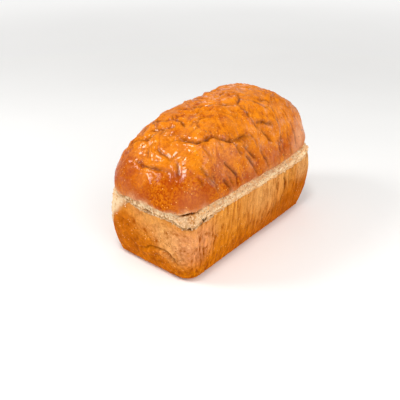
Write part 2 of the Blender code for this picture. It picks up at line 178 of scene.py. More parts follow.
@dataclass(frozen=True)
class LoafForm:
    """The loaf's smooth form, ring by ring, in the same sizes as the solid."""

    base_size: tuple[float, float] = (212 * MM, 102 * MM)
    base_corner: float = 15.5 * MM
    base_shift: tuple[float, float] = (-0.9 * MM, 2.2 * MM)
    lower_edge: float = 4 * MM
    rim_size: tuple[float, float] = (236 * MM, 118 * MM)
    rim_corners: tuple[float, ...] = (9.5 * MM, 36 * MM, 31 * MM, 40 * MM)
    rim_corner_power: float = 2.5
    rim_height: float = 71.6 * MM
    tin_flare: float = 2.2
    band_top_size: tuple[float, float] = (233.5 * MM, 105.4 * MM)
    band_top_corners: tuple[float, ...] = (9 * MM, 29 * MM, 26 * MM, 30 * MM)
    band_top_height: float = 79.5 * MM
    band_top_shift: tuple[float, float] = (-1.4 * MM, 0.4 * MM)
    band_slope: float = 1.5
    crack_above_rim: float = 1.4 * MM
    crack_reach: float = 1.2 * MM
    lip_above_rim: float = 3.9 * MM
    lip_reach: float = 1.6 * MM
    edge_crack_reach: float = 0.7 * MM
    ragged_rim: float = 1.1 * MM
    ragged_edge: float = 1.3 * MM
    rag_size: float = 7 * MM
    fine_rag_size: float = 7 / 3 * MM
    fine_rag_share: float = 0.6
    gape_swing: float = 1.3
    gape_limits: tuple[float, float] = (0.4, 2.0)
    least_band: float = 2 * MM
    crown_size: tuple[float, float] = (247.5 * MM, 120 * MM)
    crown_widest_height: float = 88 * MM
    crown_rise: float = 65.8 * MM
    crown_powers: tuple[float, float] = (3.36, 3.43)
    dome_power: float = 2.6
    dome_fullness: float = 1.64
    far_end_lift: float = 6.5 * MM
    crown_shift: tuple[float, float] = (-1.5 * MM, -1.4 * MM)
    crown_corner: float = 24 * MM
    crown_corner_fullness: tuple[float, ...] = (0.9, 0, 0, 0)
    crown_corner_fade: float = 8
    rim_lifts: Unevenness = Unevenness((-0.6, 0.7, -2.5, 1, 0, -1, 1.5, 1, 0, -1, 1, 0, -0.5, 1, 7.5, 4))
    edge_lifts: Unevenness = Unevenness((1, 1.2, 4, 4.5, 1.5, 1, 2, 0, -1, 0, 2, 1, 0, 2, 1, 0.5))
    band_widenings: Unevenness = Unevenness((0, 0, 4.5, 1, 0, 0, 0, 0, 0, 0, 0, 0, 0, 0, 0, 0))
    crack_depths: Unevenness = Unevenness(
        (4.2, 4.6, 6.0, 0.7, 0.3, 0.5, 2.2, 2.5, 2.5, 3.0, 3.0, 0.8, 0.3, 0.5, 3.2, 4.4)
    )
    lip_depths: Unevenness = Unevenness(
        (0.8, 1.0, 1.2, 1.6, 1.8, 1.6, 1.4, 1.2, 1.0, 1.2, 1.6, 0.9, 0.8, 0.9, 0.6, 0.6)
    )
    edge_crack_depths: Unevenness = Unevenness(
        (0.2, 0.4, 3.0, 2.0, 0.6, 0.9, 0.9, 0.6, 0.5, 0.6, 1.0, 0.8, 0.5, 0.9, 0.8, 0.2)
    )

    @staticmethod
    def place_round(u: np.ndarray, v: np.ndarray) -> np.ndarray:
        """How far round the loaf points of the unit square's edge lie.

        Args:
            u: Places along the loaf, from -1 to 1.
            v: Places across it, from -1 to 1.

        Returns:
            0 at the middle of the near end, 1 at the near corner, on to 8.
        """
        along = np.abs(v) >= np.abs(u)
        turn = np.where(along & (v < 0), 2 + u, np.where(along, 6 - u, np.where(u > 0, 4 + v, -v)))
        return np.mod(turn, 8)

    @staticmethod
    def at_corners(u: np.ndarray, v: np.ndarray, values: tuple[float, ...]) -> np.ndarray:
        """Choose among four corner values by the quarter that the ray (u, v) points to.

        Args:
            u: Ray along the loaf.
            v: Ray across it.
            values: Near front, far front, far back and near back corner.

        Returns:
            One value for each ray.
        """
        front = np.where(u < 0, values[0], values[1])
        back = np.where(u < 0, values[3], values[2])
        return np.where(v < 0, front, back)

    @staticmethod
    def rectangle_reach(
        u: np.ndarray, v: np.ndarray, half_length: np.ndarray, half_width: np.ndarray, corner: np.ndarray
    ) -> np.ndarray:
        """How far along each ray the outline of a rectangle with round corners lies.

        Args:
            u: Rays along the loaf, on the unit square's edge.
            v: Rays across it.
            half_length: Half the outline's length.
            half_width: Half its width.
            corner: Radius of its corners.

        Returns:
            The reach, 1 on the straight sides.
        """
        x = np.abs(u) * half_length
        y = np.abs(v) * half_width
        inner_x = half_length - corner
        inner_y = half_width - corner
        square = x * x + y * y
        along = x * inner_x + y * inner_y
        inner = inner_x**2 + inner_y**2 - corner**2
        arc = (along + np.sqrt(np.maximum(along**2 - square * inner, 0))) / square
        return np.where((x > inner_x) & (y > inner_y), arc, 1.0)

    def crown_reach(self, u: np.ndarray, v: np.ndarray, part_out: np.ndarray) -> np.ndarray:
        """How far along each ray the crown's outline lies: an oval with one fuller corner.

        Args:
            u: Rays along the loaf, on the unit square's edge.
            v: Rays across it.
            part_out: Part of the way out to the widest ring.

        Returns:
            The reach, 1 in the middle of each side.
        """
        reach = np.ones_like(u)
        for _ in range(REACH_STEPS):
            length_term = (reach * np.abs(u)) ** self.crown_powers[0]
            width_term = (reach * np.abs(v)) ** self.crown_powers[1]
            slope = self.crown_powers[0] * length_term + self.crown_powers[1] * width_term
            reach = reach * (1 - (length_term + width_term - 1) / slope)
        half = [size / 2 for size in self.crown_size]
        full = self.rectangle_reach(u, v, half[0], half[1], self.crown_corner)
        fullness = self.at_corners(u, v, self.crown_corner_fullness) * part_out**self.crown_corner_fade
        return reach + (full - reach) * fullness

    def raggedness(self, u: np.ndarray, v: np.ndarray, shift: float) -> np.ndarray:
        """Noise round the rim's outline, for torn edges.

        Args:
            u: Rays along the loaf.
            v: Rays across it.
            shift: Moves the pattern.

        Returns:
            One value for each ray, about -1 to 1.
        """
        points = np.stack([u * self.rim_size[0] / 2, v * self.rim_size[1] / 2, np.zeros_like(u)], axis=1)
        fine = noise_at(points, self.fine_rag_size, shift)
        return noise_at(points, self.rag_size, shift) + self.fine_rag_share * fine

    def rim_at(self, u: np.ndarray, v: np.ndarray, turn: np.ndarray) -> np.ndarray:
        """Height of the tin wall's upper edge along the rays (u, v) at the places turn."""
        return self.rim_height + self.rim_lifts.at(turn) + self.ragged_rim * self.raggedness(u, v, 1.0)

    def edge_at(self, u: np.ndarray, v: np.ndarray, turn: np.ndarray) -> np.ndarray:
        """Height of the crown's lower edge along the rays (u, v) at the places turn."""
        return self.band_top_height + self.edge_lifts.at(turn) + self.ragged_edge * self.raggedness(u, v, 2.0)

    def torn(self, u: np.ndarray, v: np.ndarray) -> np.ndarray:
        """How much more or less than usual the cracks gape along the rays (u, v)."""
        return np.clip(1 + self.gape_swing * self.raggedness(u, v, 3.0), *self.gape_limits)

    def rim_crack(self, turn: np.ndarray, above: np.ndarray, torn: np.ndarray) -> np.ndarray:
        """Depth of the crack under the band, at a height above the rim, where it gapes as torn says."""
        spread = self.crack_reach * (0.5 + 0.5 * torn)
        return self.crack_depths.at(turn) * torn * bell(above, self.crack_above_rim, spread)

    def edge_crack(self, turn: np.ndarray, away: np.ndarray) -> np.ndarray:
        """Depth of the thin crack under the crown's lower edge, at a distance away from it."""
        return self.edge_crack_depths.at(turn) * bell(away, 0, self.edge_crack_reach)

    def wall(self, u: np.ndarray, v: np.ndarray, level: np.ndarray) -> np.ndarray:
        """Points on the tin-baked wall.

        Args:
            u: Rays along the loaf, on the unit square's edge.
            v: Rays across it.
            level: 0 on the base to 1 at the rim.

        Returns:
            Points in metres, one a row.
        """
        turn = self.place_round(u, v)
        height = level * self.rim_at(u, v, turn)
        flare = 1 - (1 - level) ** self.tin_flare
        below = np.clip(1 - height / self.lower_edge, 0, 1)
        tuck = self.lower_edge * (1 - np.sqrt(1 - below**2))
        half = [(base + (rim - base) * flare) / 2 - tuck for base, rim in zip(self.base_size, self.rim_size)]
        grown = level**self.rim_corner_power
        corner = self.base_corner + (self.at_corners(u, v, self.rim_corners) - self.base_corner) * grown
        reach = self.rectangle_reach(u, v, half[0], half[1], corner)
        x = u * half[0] * reach + self.base_shift[0] * (1 - flare)
        y = v * half[1] * reach + self.base_shift[1] * (1 - flare)
        return np.stack([x, y, height], axis=1)

    def band(self, u: np.ndarray, v: np.ndarray, level: np.ndarray) -> np.ndarray:
        """Points on the pale band.

        Args:
            u: Rays along the loaf, on the unit square's edge.
            v: Rays across it.
            level: 0 at the rim to 1 at the crown's lower edge.

        Returns:
            Points in metres, one a row.
        """
        turn = self.place_round(u, v)
        rim = self.rim_at(u, v, turn)
        tall = np.maximum(self.edge_at(u, v, turn) - rim, self.least_band)
        above = level * tall
        torn = self.torn(u, v)
        crack = self.rim_crack(turn, above, torn)
        lip = self.lip_depths.at(turn) * bell(above, self.lip_above_rim, self.lip_reach)
        inward = crack - lip + self.edge_crack(turn, tall - above) * torn
        slope = level**self.band_slope
        sizes = zip(self.rim_size, self.band_top_size)
        half = [(rim_size + (top - rim_size) * slope) / 2 - inward for rim_size, top in sizes]
        half[1] = half[1] + self.band_widenings.at(turn) * slope
        rim_corner = self.at_corners(u, v, self.rim_corners)
        corner = rim_corner + (self.at_corners(u, v, self.band_top_corners) - rim_corner) * slope
        reach = self.rectangle_reach(u, v, half[0], half[1], corner)
        x = u * half[0] * reach + self.band_top_shift[0] * slope
        y = v * half[1] * reach + self.band_top_shift[1] * slope
        return np.stack([x, y, rim + above], axis=1)

    def crown_lip(self, u: np.ndarray, v: np.ndarray, level: np.ndarray) -> np.ndarray:
        """Points where the crown curls out over the band.

        Args:
            u: Rays along the loaf, on the unit square's edge.
            v: Rays across it.
            level: 0 at the crown's lower edge to 1 at its widest ring.

        Returns:
            Points in metres, one a row.
        """
        outward = np.sin(level * math.pi / 2)
        upward = 1 - np.cos(level * math.pi / 2)
        start = self.band(u, v, np.ones_like(u))
        widest = self.dome(u, v, np.ones_like(u))
        widest[:, 2] = self.crown_widest_height
        return start + (widest - start) * np.stack([outward, outward, upward], axis=1)

    def dome(self, u: np.ndarray, v: np.ndarray, part_out: np.ndarray) -> np.ndarray:
        """Points of the crown's dome.

        Args:
            u: Rays along the loaf, on the unit square's edge.
            v: Rays across it.
            part_out: 0 in the middle of the crown to 1 on its widest ring.

        Returns:
            Points in metres, one a row.
        """
        reach = self.crown_reach(u, v, part_out) * part_out
        x = u * reach * self.crown_size[0] / 2 + self.crown_shift[0]
        y = v * reach * self.crown_size[1] / 2 + self.crown_shift[1]
        return np.stack([x, y, self.dome_height(part_out, u * reach)], axis=1)

    def dome_height(self, part_out: np.ndarray, lengthwise: np.ndarray) -> np.ndarray:
        """Height of the crown.

        Args:
            part_out: Part of the way out to the widest ring.
            lengthwise: Place along the crown, from -1 to 1.

        Returns:
            Heights in metres.
        """
        rise = np.clip(1 - part_out**self.dome_power, 0, 1) ** (1 / self.dome_fullness)
        lift = self.far_end_lift * lengthwise * np.clip(1 - part_out**2, 0, 1)
        return self.crown_widest_height + self.crown_rise * rise + lift

    def on_top(self, x: float, y: float) -> tuple[float, float, float]:
        """The dome's surface at a place seen from above.

        Args:
            x: Place along the loaf in metres.
            y: Place across it.

        Returns:
            The point.
        """
        along = abs(x - self.crown_shift[0]) / (self.crown_size[0] / 2)
        across = abs(y - self.crown_shift[1]) / (self.crown_size[1] / 2)
        low, high = 0.0, 1.0
        for _ in range(HALVINGS):
            middle = (low + high) / 2
            outside = (along / middle) ** self.crown_powers[0] + (across / middle) ** self.crown_powers[1] > 1
            low, high = (middle, high) if outside else (low, middle)
        lengthwise = (x - self.crown_shift[0]) / (self.crown_size[0] / 2)
        return (x, y, float(self.dome_height(np.array(high), np.array(lengthwise))))

    def on_shoulder(self, x: float, height: float, side: int) -> tuple[float, float, float]:
        """The crown's surface at a place along the loaf and a height.

        Args:
            x: Place along the loaf in metres.
            height: Height in metres.
            side: -1 for the front, 1 for the back.

        Returns:
            The point.
        """
        rise = max(height - self.crown_widest_height, 0) / self.crown_rise
        part_out = (1 - rise**self.dome_fullness) ** (1 / self.dome_power)
        along = abs(x - self.crown_shift[0]) / (self.crown_size[0] / 2 * part_out)
        width = part_out * max(1 - along ** self.crown_powers[0], 0) ** (1 / self.crown_powers[1])
        return (x, side * width * self.crown_size[1] / 2 + self.crown_shift[1], height)

    def wall_half(self, height: float, axis: int) -> float:
        """Half the wall's length (axis 0) or width (axis 1) at a height."""
        flare = 1 - (1 - height / self.rim_height) ** self.tin_flare
        return (self.base_size[axis] + (self.rim_size[axis] - self.base_size[axis]) * flare) / 2

    def route(self, crease: Crease) -> np.ndarray:
        """A crease's places as points on the smooth form.

        Args:
            crease: The crease.

        Returns:
            Points in metres, one a row.
        """
        place = {
            Where.TOP: lambda a, b: self.on_top(a, b),
            Where.FRONT_SHOULDER: lambda a, b: self.on_shoulder(a, b, -1),
            Where.BACK_SHOULDER: lambda a, b: self.on_shoulder(a, b, 1),
            Where.NEAR_END: lambda a, b: (-self.wall_half(b, 0), a, b),
            Where.FRONT_WALL: lambda a, b: (a, -self.wall_half(b, 1), b),
        }[crease.where]
        return np.array([place(a * MM, b * MM) for a, b in crease.places])


def creases(where: Where, *rows: tuple) -> tuple[Crease, ...]:
    """Make the creases of one part of the loaf.

    Args:
        where: The part.
        rows: Each crease's width, depth, lip and places.

    Returns:
        The creases.
    """
    return tuple(Crease(where, *row) for row in rows)


TOP_CREASES = creases(
    Where.TOP,
    (2.6, 5.2, 1.9, ((-81, -18), (-80, -25), (-76, -32), (-68, -36), (-60, -38), (-54, -42))),
    (2.6, 5.2, 1.9, ((-54, -42), (-48, -46), (-41, -48))),
    (2.6, 2.6, 1.2, ((-41, -48), (-29, -48), (-16, -49))),
    (1.7, 2.8, -1.8, ((-111, 10), (-113, 1), (-112, -10), (-110, -19), (-109, -28))),
    (2.0, 2.4, 1.6, ((-98, -6), (-100, -12), (-100, -18), (-102, -23))),
    (1.8, 1.8, 1.8, ((-98, -30), (-102, -34), (-107, -38))),
    (2.8, 3.6, 2.0, ((-36, 3), (-31, -3), (-24, -8), (-17, -16), (-7, -22))),
    (2.2, 2.4, 1.4, ((17, -12), (8, -20), (-1, -25))),
    (2.4, 3.6, 1.2, ((20, -29), (24, -33), (31, -39))),
    (2.2, 2.8, -1.4, ((4, -45), (16, -47), (26, -50))),
    (2.2, 2.6, 1.6, ((-1, -31), (0, -35), (-2, -41), (0, -47), (3, -49))),
    (2.4, 2.6, 1.4, ((-72, 30), (-71, 16), (-64, 7))),
    (2.4, 2.2, 1.4, ((-82, 18), (-79, 4), (-71, -3))),
    (2.4, 2.0, 1.2, ((-95, 24), (-92, 14), (-84, 6))),
    (2.2, 2.4, 1.4, ((-65, 9), (-63, -3), (-68, -12))),
)
SHOULDER_PLEATS = creases(
    Where.FRONT_SHOULDER,
    (2.4, 3.2, 1.8, ((-61, 115), (-53, 106), (-50, 99), (-50, 91))),
    (2.4, 3.4, 1.8, ((-30, 113), (-22, 103), (-15, 91))),
    (2.2, 2.4, 1.2, ((-30, 122), (-23, 113), (-13, 105))),
    (2.2, 3.0, 1.6, ((-4, 109), (2, 98), (7, 90))),
    (2.2, 2.6, 1.6, ((-44, 132), (-40, 123), (-36, 116))),
    (2.2, 2.4, 1.4, ((6, 128), (10, 121), (17, 112))),
    (2.6, 2.0, 1.0, ((-87, 117), (-81, 104), (-77, 95))),
    (2.4, 2.8, 1.4, ((49, 107), (51, 97), (53, 88))),
    (2.4, 3.4, 1.8, ((39, 138), (38, 126), (37, 116), (35, 106))),
    (3.2, 4.4, 1.2, ((31, 107), (28, 99))),
    (2.2, 2.4, 1.2, ((-67, 102), (-63, 95), (-61, 89))),
    (2.4, 2.6, 1.2, ((64, 118), (67, 106), (68, 94))),
)
WALL_FOLDS = creases(
    Where.FRONT_WALL,
    (2.6, 2.8, 1.0, ((31, 73), (29, 62), (31, 48), (28, 35), (30, 22))),
    (2.6, 3.0, 1.2, ((48, 72), (44, 62), (48, 50), (44, 38), (45, 28))),
    (2.2, 2.6, 0.9, ((66, 74), (61, 66), (65, 57))),
    (2.2, 2.2, 0.9, ((58, 52), (55, 40), (59, 24))),
    (1.8, 1.8, 0.7, ((12, 40), (10, 28), (12, 14))),
    (1.8, 2.0, 0.7, ((-20, 34), (-17, 24), (-19, 12))),
    (2.6, 1.8, 0.8, ((52, 64), (56, 44), (58, 20))),
    (2.6, 1.6, 0.8, ((74, 58), (77, 38), (80, 16))),
    (2.0, 1.2, 0.6, ((30, 62), (32, 40), (35, 14))),
    (1.6, 1.1, 0.6, ((-98, 60), (-95, 50), (-97, 42), (-93, 30))),
    (1.4, 0.9, 0.6, ((-105, 52), (-101, 44), (-102, 34), (-97, 22))),
    (1.4, 0.9, 0.6, ((-87, 62), (-89, 52), (-85, 40))),
)
END_FOLDS = creases(
    Where.NEAR_END,
    (2.0, 2.4, 2.0, ((10, 23), (0, 26), (-8, 32), (-19, 33), (-31, 32), (-35, 24), (-46, 20))),
    (2.0, 1.2, 0.6, ((-34, 27), (-43, 29), (-50, 33))),
    (1.4, 0.7, 0.4, ((-36, 26), (-42, 33), (-45, 40))),
    (1.4, 0.7, 0.4, ((-36, 22), (-44, 24), (-52, 23))),
)


@dataclass(frozen=True)
class CrustRelief:
    """Everything that stands out of or sinks into the smooth form.

    Pairs named as drawn are the least and most of a random value, in mm on the real crust.
    """

    crown_lumps: tuple[tuple[float, float], ...] = (
        (46 * MM, 1.5 * MM),
        (23 * MM, 1.3 * MM),
        (13 * MM, 0.6 * MM),
    )
    wall_lumps: tuple[tuple[float, float], ...] = ((48 * MM, 1.0 * MM), (17 * MM, 0.5 * MM))
    band_lumps: tuple[tuple[float, float], ...] = ((14 * MM, 0.8 * MM), (7 * MM, 0.6 * MM))
    start_height: float = 1.5 * MM
    full_height: float = 12 * MM
    lip_place: float = 2.2
    lip_spread: float = 1.3
    waver: float = 1.6 * MM
    waver_size: float = 8 * MM
    core_width: float = 0.45
    core_share: float = 0.55
    end_depth: float = 0.3
    # Painted shade in crease furrows: its width, and the crease depth in mm at which it is full.
    shade_width: float = 0.55
    full_shade_depth: float = 3
    pleat_seed: int = 7
    hidden_pleats: int = 15
    pleat_run: tuple[float, float] = (-96, 96)
    drawn_pleat_tops: tuple[float, float] = (106, 130)
    drawn_pleat_feet: tuple[float, float] = (89, 96)
    drawn_pleat_leans: tuple[float, float] = (4, 14)
    drawn_pleat_widths: tuple[float, float] = (3.2, 3.8)
    hidden_creases: int = 6
    crease_run: tuple[float, float] = (-80, 85)
    crease_rise: float = 6
    drawn_crease_strays: tuple[float, float] = (-10, 10)
    drawn_crease_places: tuple[float, float] = (18, 34)
    drawn_crease_lengths: tuple[float, float] = (16, 34)
    drawn_crease_bends: tuple[float, float] = (-9, 9)
    drawn_crease_widths: tuple[float, float] = (3.6, 4.2)
    drawn_depths: tuple[float, float] = (1.6, 3.2)
    drawn_lips: tuple[float, float] = (0.8, 1.6)
    narrowed: float = 0.75
    wrinkle_seed: int = 23
    top_wrinkles: int = 70
    shoulder_wrinkles: int = 46
    drawn_wrinkle_widths: tuple[float, float] = (1.3, 2.0)

    def hidden(self, form: LoafForm) -> list[Crease]:
        """Pleats and creases of the back, drawn from a seed in the manner of the front.

        Args:
            form: The loaf's smooth form; not used.

        Returns:
            The creases.
        """
        draw = np.random.default_rng(self.pleat_seed)
        steps = np.linspace(0, 1, 4)
        found = []
        first, last = self.pleat_run
        for index in range(self.hidden_pleats):
            start = first + (last - first) * (index + draw.uniform(-0.3, 0.3)) / (self.hidden_pleats - 1)
            top = draw.uniform(*self.drawn_pleat_tops)
            foot = draw.uniform(*self.drawn_pleat_feet)
            lean = draw.uniform(*self.drawn_pleat_leans)
            places = tuple((start + lean * s, top + (foot - top) * s) for s in steps)
            width = draw.uniform(*self.drawn_pleat_widths) * self.narrowed
            depth, lip = draw.uniform(*self.drawn_depths), draw.uniform(*self.drawn_lips)
            found.append(Crease(Where.BACK_SHOULDER, width, depth, lip, places))
        first, last = self.crease_run
        for index in range(self.hidden_creases):
            start = first + (last - first) * index / (self.hidden_creases - 1)
            x = start + draw.uniform(*self.drawn_crease_strays)
            y = draw.uniform(*self.drawn_crease_places)
            length = draw.uniform(*self.drawn_crease_lengths)
            bend = draw.uniform(*self.drawn_crease_bends)
            places = tuple(
                (x + length * s, y + bend * math.sin(math.pi * s) + self.crease_rise * s) for s in steps
            )
            width = draw.uniform(*self.drawn_crease_widths) * self.narrowed
            depth, lip = draw.uniform(*self.drawn_depths), draw.uniform(*self.drawn_lips)
            found.append(Crease(Where.TOP, width, depth, lip, places))
        return found

    def wrinkles(self) -> list[Crease]:
        """Short fine wrinkles all over the crown, drawn from a seed.

        Returns:
            The wrinkles as small creases.
        """
        draw = np.random.default_rng(self.wrinkle_seed)
        found = []
        for _ in range(self.top_wrinkles):
            x, y = draw.uniform(-104, 100), draw.uniform(-44, 44)
            heading = draw.uniform(0, 2 * math.pi)
            length = draw.uniform(7, 20)
            bend = draw.uniform(-3, 3)
            ahead, aside = math.cos(heading), math.sin(heading)
            steps = [(length * s, bend * (1 - 4 * s * s)) for s in np.linspace(-0.5, 0.5, 4)]
            places = tuple(
                (x + run * ahead - bow * aside, y + run * aside + bow * ahead) for run, bow in steps
            )
            width = draw.uniform(*self.drawn_wrinkle_widths)
            found.append(Crease(Where.TOP, width, draw.uniform(0.5, 1.5), draw.uniform(0.4, 1.2), places))
        for index in range(self.shoulder_wrinkles):
            where = Where.FRONT_SHOULDER if index % 2 else Where.BACK_SHOULDER
            x, top = draw.uniform(-95, 95), draw.uniform(98, 138)
            drop, lean = draw.uniform(7, 18), draw.uniform(1, 9)
            foot = self.drawn_pleat_feet[0]
            places = tuple((x + lean * s, max(top - drop * s, foot)) for s in np.linspace(0, 1, 3))
            width = draw.uniform(*self.drawn_wrinkle_widths)
            found.append(Crease(where, width, draw.uniform(0.6, 1.7), draw.uniform(0.5, 1.2), places))
        return found

    def crease(
        self, points: np.ndarray, normals: np.ndarray, crease: Crease, route: np.ndarray
    ) -> tuple[np.ndarray, np.ndarray]:
        """How far one crease moves each point, and how much painted shade each point gets in its furrow.

        Args:
            points: Points of the crust, bent a little so that the furrow wavers.
            normals: Their outward directions.
            crease: The crease's sizes.
            route: Its points on the smooth form.

        Returns:
            Movement along the normal in metres, and a value of 0 to 1 for the painted shade in the furrow.
        """
        reach = 6 * crease.width * MM
        low, high = route.min(axis=0) - reach, route.max(axis=0) + reach
        near = np.all((points > low) & (points < high), axis=1)
        moved = np.zeros(len(points))
        inside = np.zeros(len(points))
        if not near.any():
            return moved, inside
        places, upward = points[near], normals[near]
        nearest = np.full(len(places), np.inf)
        side = np.zeros(len(places))
        ends = np.zeros(len(places))
        lengths = np.linalg.norm(np.diff(route, axis=0), axis=1)
        run = np.concatenate([[0], np.cumsum(lengths)])
        for index, length in enumerate(lengths):
            step = route[index + 1] - route[index]
            part = np.clip((places - route[index]) @ step / length**2, 0, 1)
            away = places - (route[index] + part[:, None] * step)
            distance = np.linalg.norm(away, axis=1)
            closer = distance < nearest
            across = np.einsum("ij,ij->i", np.cross(np.broadcast_to(step, away.shape), upward), away)
            nearest[closer] = distance[closer]
            side[closer] = across[closer]
            ends[closer] = ((run[index] + part * length) / run[-1])[closer]
        fade = self.end_depth + (1 - self.end_depth) * np.sin(math.pi * ends) ** 0.5
        spread = crease.width * MM
        core = bell(nearest, 0, self.core_width * spread)
        valley = (1 - self.core_share) * bell(nearest, 0, spread) + self.core_share * core
        beside = bell(nearest, self.lip_place * spread, self.lip_spread * spread)
        raised = np.where(side * np.sign(crease.lip) > 0, abs(crease.lip) * MM * beside, 0)
        moved[near] = (raised - crease.depth * MM * valley) * fade
        # Painted shade: the furrow's middle is darkened in the finish, deeper creases more.
        crease_shade = bell(nearest, 0, self.shade_width * spread)
        inside[near] = crease_shade * fade * min(crease.depth / self.full_shade_depth, 1)
        return moved, inside

    def lumps(self, points: np.ndarray, sizes: tuple[tuple[float, float], ...]) -> np.ndarray:
        """Gentle swellings of several sizes, the same ones as the solid's.

        Args:
            points: Points of the crust.
            sizes: The size and the height of each kind of swelling in metres.

        Returns:
            Their sum at each point in metres.
        """
        total = np.zeros(len(points))
        for index, (size, height) in enumerate(sizes):
            total += height * noise_at(points, size, index + 1)
        return total


def box_grid(
    along: int, across: int, rings: int
) -> tuple[np.ndarray, np.ndarray, np.ndarray, list[tuple[int, ...]]]:
    """A closed grid: rings of points up the walls, a grid over the top and one face below.

    Args:
        along: Faces along the loaf.
        across: Faces across it.
        rings: Rings of points from the base to the start of the top.

    Returns:
        The points' places along and across on the unit square, their ring numbers, and the faces.
    """
    u_steps, v_steps = np.linspace(-1, 1, along + 1), np.linspace(-1, 1, across + 1)
    edge = [(i, 0) for i in range(along)] + [(along, j) for j in range(across)]
    edge += [(i, across) for i in range(along, 0, -1)] + [(0, j) for j in range(across, 0, -1)]
    count = len(edge)
    u = np.tile([u_steps[i] for i, _ in edge], rings)
    v = np.tile([v_steps[j] for _, j in edge], rings)
    ring = np.repeat(np.arange(rings), count)
    faces = []
    for row in range(rings - 1):
        low, high = row * count, (row + 1) * count
        for k in range(count):
            after = (k + 1) % count
            faces.append((low + k, low + after, high + after, high + k))
    number = {place: (rings - 1) * count + k for k, place in enumerate(edge)}
    inner = [(i, j) for j in range(1, across) for i in range(1, along)]
    number.update({place: rings * count + k for k, place in enumerate(inner)})
    u = np.concatenate([u, [u_steps[i] for i, _ in inner]])
    v = np.concatenate([v, [v_steps[j] for _, j in inner]])
    ring = np.concatenate([ring, np.full(len(inner), rings - 1)])
    for j in range(across):
        for i in range(along):
            faces.append((number[i, j], number[i + 1, j], number[i + 1, j + 1], number[i, j + 1]))
    faces.append(tuple(range(count - 1, -1, -1)))
    return u, v, ring, faces


class NodeBoard:
    """Adds nodes to a tree and joins them, each input given as a value or a socket."""

    def __init__(self, tree: bpy.types.NodeTree) -> None:
        """Work on one node tree."""
        self.tree = tree

    def add(self, kind: str, inputs: dict | None = None, **settings: object) -> bpy.types.Node:
        """Add a node.

        Args:
            kind: The node's type name.
            inputs: Values or sockets by input name or number.
            settings: Properties of the node.

        Returns:
            The node.
        """
        node = self.tree.nodes.new(kind)
        for name, value in settings.items():
            setattr(node, name, value)
        for name, value in (inputs or {}).items():
            if isinstance(value, Socket):
                self.tree.links.new(value, node.inputs[name])
            else:
                node.inputs[name].default_value = value
        return node

    def join(self, value: Socket, shader: bpy.types.Node, name: str) -> None:
        """Feed a value into a shader's input of a given name."""
        self.tree.links.new(value, shader.inputs[name])

    def math(self, operation: str, *values: object, clamp: bool = False) -> Socket:
        """Add a Math node and return its result."""
        node = self.add("ShaderNodeMath", dict(enumerate(values)), operation=operation, use_clamp=clamp)
        return node.outputs[0]

    def plus(self, first: object, second: object) -> Socket:
        """Add two numbers and return the sum."""
        return self.math("ADD", first, second)

    def minus(self, first: object, second: object) -> Socket:
        """Take the second number from the first and return the rest."""
        return self.math("SUBTRACT", first, second)

    def times(self, first: object, second: object) -> Socket:
        """Multiply two numbers and return the product."""
        return self.math("MULTIPLY", first, second)

    def summed(self, start: object, *parts: tuple[object, object]) -> Socket:
        """Add several products to a number.

        Args:
            start: The number.
            parts: Pairs of a value and its weight.

        Returns:
            The sum.
        """
        for value, weight in parts:
            start = self.math("MULTIPLY_ADD", value, weight, start)
        return start

    def scaled(self, vector: object, factor: object) -> Socket:
        """Scale a vector and return the result."""
        node = self.add("ShaderNodeVectorMath", {0: vector, "Scale": factor}, operation="SCALE")
        return node.outputs["Vector"]

    def shrunk(self, vector: object, size: object) -> Socket:
        """Divide a vector by a size, so that a pattern of unit scale gets that size."""
        return self.scaled(vector, self.math("DIVIDE", 1.0, size))

    def stretched(self, vector: object, factors: tuple[float, float, float]) -> Socket:
        """Multiply a vector by three factors and return the result."""
        node = self.add("ShaderNodeVectorMath", {0: vector, 1: factors}, operation="MULTIPLY")
        return node.outputs["Vector"]

    def graded(
        self, value: object, low: object, high: object, to: tuple[float, float] = (0.0, 1.0)
    ) -> Socket:
        """Grade a value smoothly.

        Args:
            value: The value.
            low: Where the grading starts.
            high: Where it ends.
            to: The results at the start and at the end.

        Returns:
            The graded value.
        """
        inputs = {"Value": value, "From Min": low, "From Max": high, "To Min": to[0], "To Max": to[1]}
        node = self.add("ShaderNodeMapRange", inputs, interpolation_type="SMOOTHSTEP")
        return node.outputs["Result"]

    def mixed(self, share: object, first: object, second: object) -> Socket:
        """Mix two numbers by a share and return the result."""
        return self.add("ShaderNodeMix", {0: share, 2: first, 3: second}, data_type="FLOAT").outputs[0]

    def blend(self, share: object, first: object, second: object) -> Socket:
        """Mix two colours by a share, held between 0 and 1, and return the result."""
        return self.add("ShaderNodeMix", {0: share, 6: first, 7: second}, data_type="RGBA").outputs[2]

    def noise(
        self, vector: object, detail: float = 2.0, roughness: float = 0.5, distortion: float = 0.0
    ) -> Socket:
        """Add a Noise Texture of unit scale and return its value."""
        inputs = {"Vector": vector, "Scale": 1.0, "Detail": detail, "Roughness": roughness}
        return self.add("ShaderNodeTexNoise", {**inputs, "Distortion": distortion}).outputs[0]


def new_group(
    name: str, inputs: dict[str, object], outputs: dict[str, str]
) -> tuple[bpy.types.NodeTree, NodeBoard, dict]:
    """Start a shader node group with named inputs and outputs.

    Args:
        name: The group's name.
        inputs: Default values by name: a number, three numbers or four.
        outputs: Socket types by name.

    Returns:
        The group, a board to add nodes with, and its input sockets by name.
    """
    group = bpy.data.node_groups.new(name, "ShaderNodeTree")
    kinds = {3: "NodeSocketVector", 4: "NodeSocketColor"}
    for label, value in inputs.items():
        kind = kinds[len(value)] if isinstance(value, tuple) else "NodeSocketFloat"
        socket = group.interface.new_socket(name=label, in_out="INPUT", socket_type=kind)
        socket.default_value = value
    for label, kind in outputs.items():
        group.interface.new_socket(name=label, in_out="OUTPUT", socket_type=kind)
    board = NodeBoard(group)
    entry = board.add("NodeGroupInput")
    return group, board, {label: entry.outputs[label] for label in inputs}


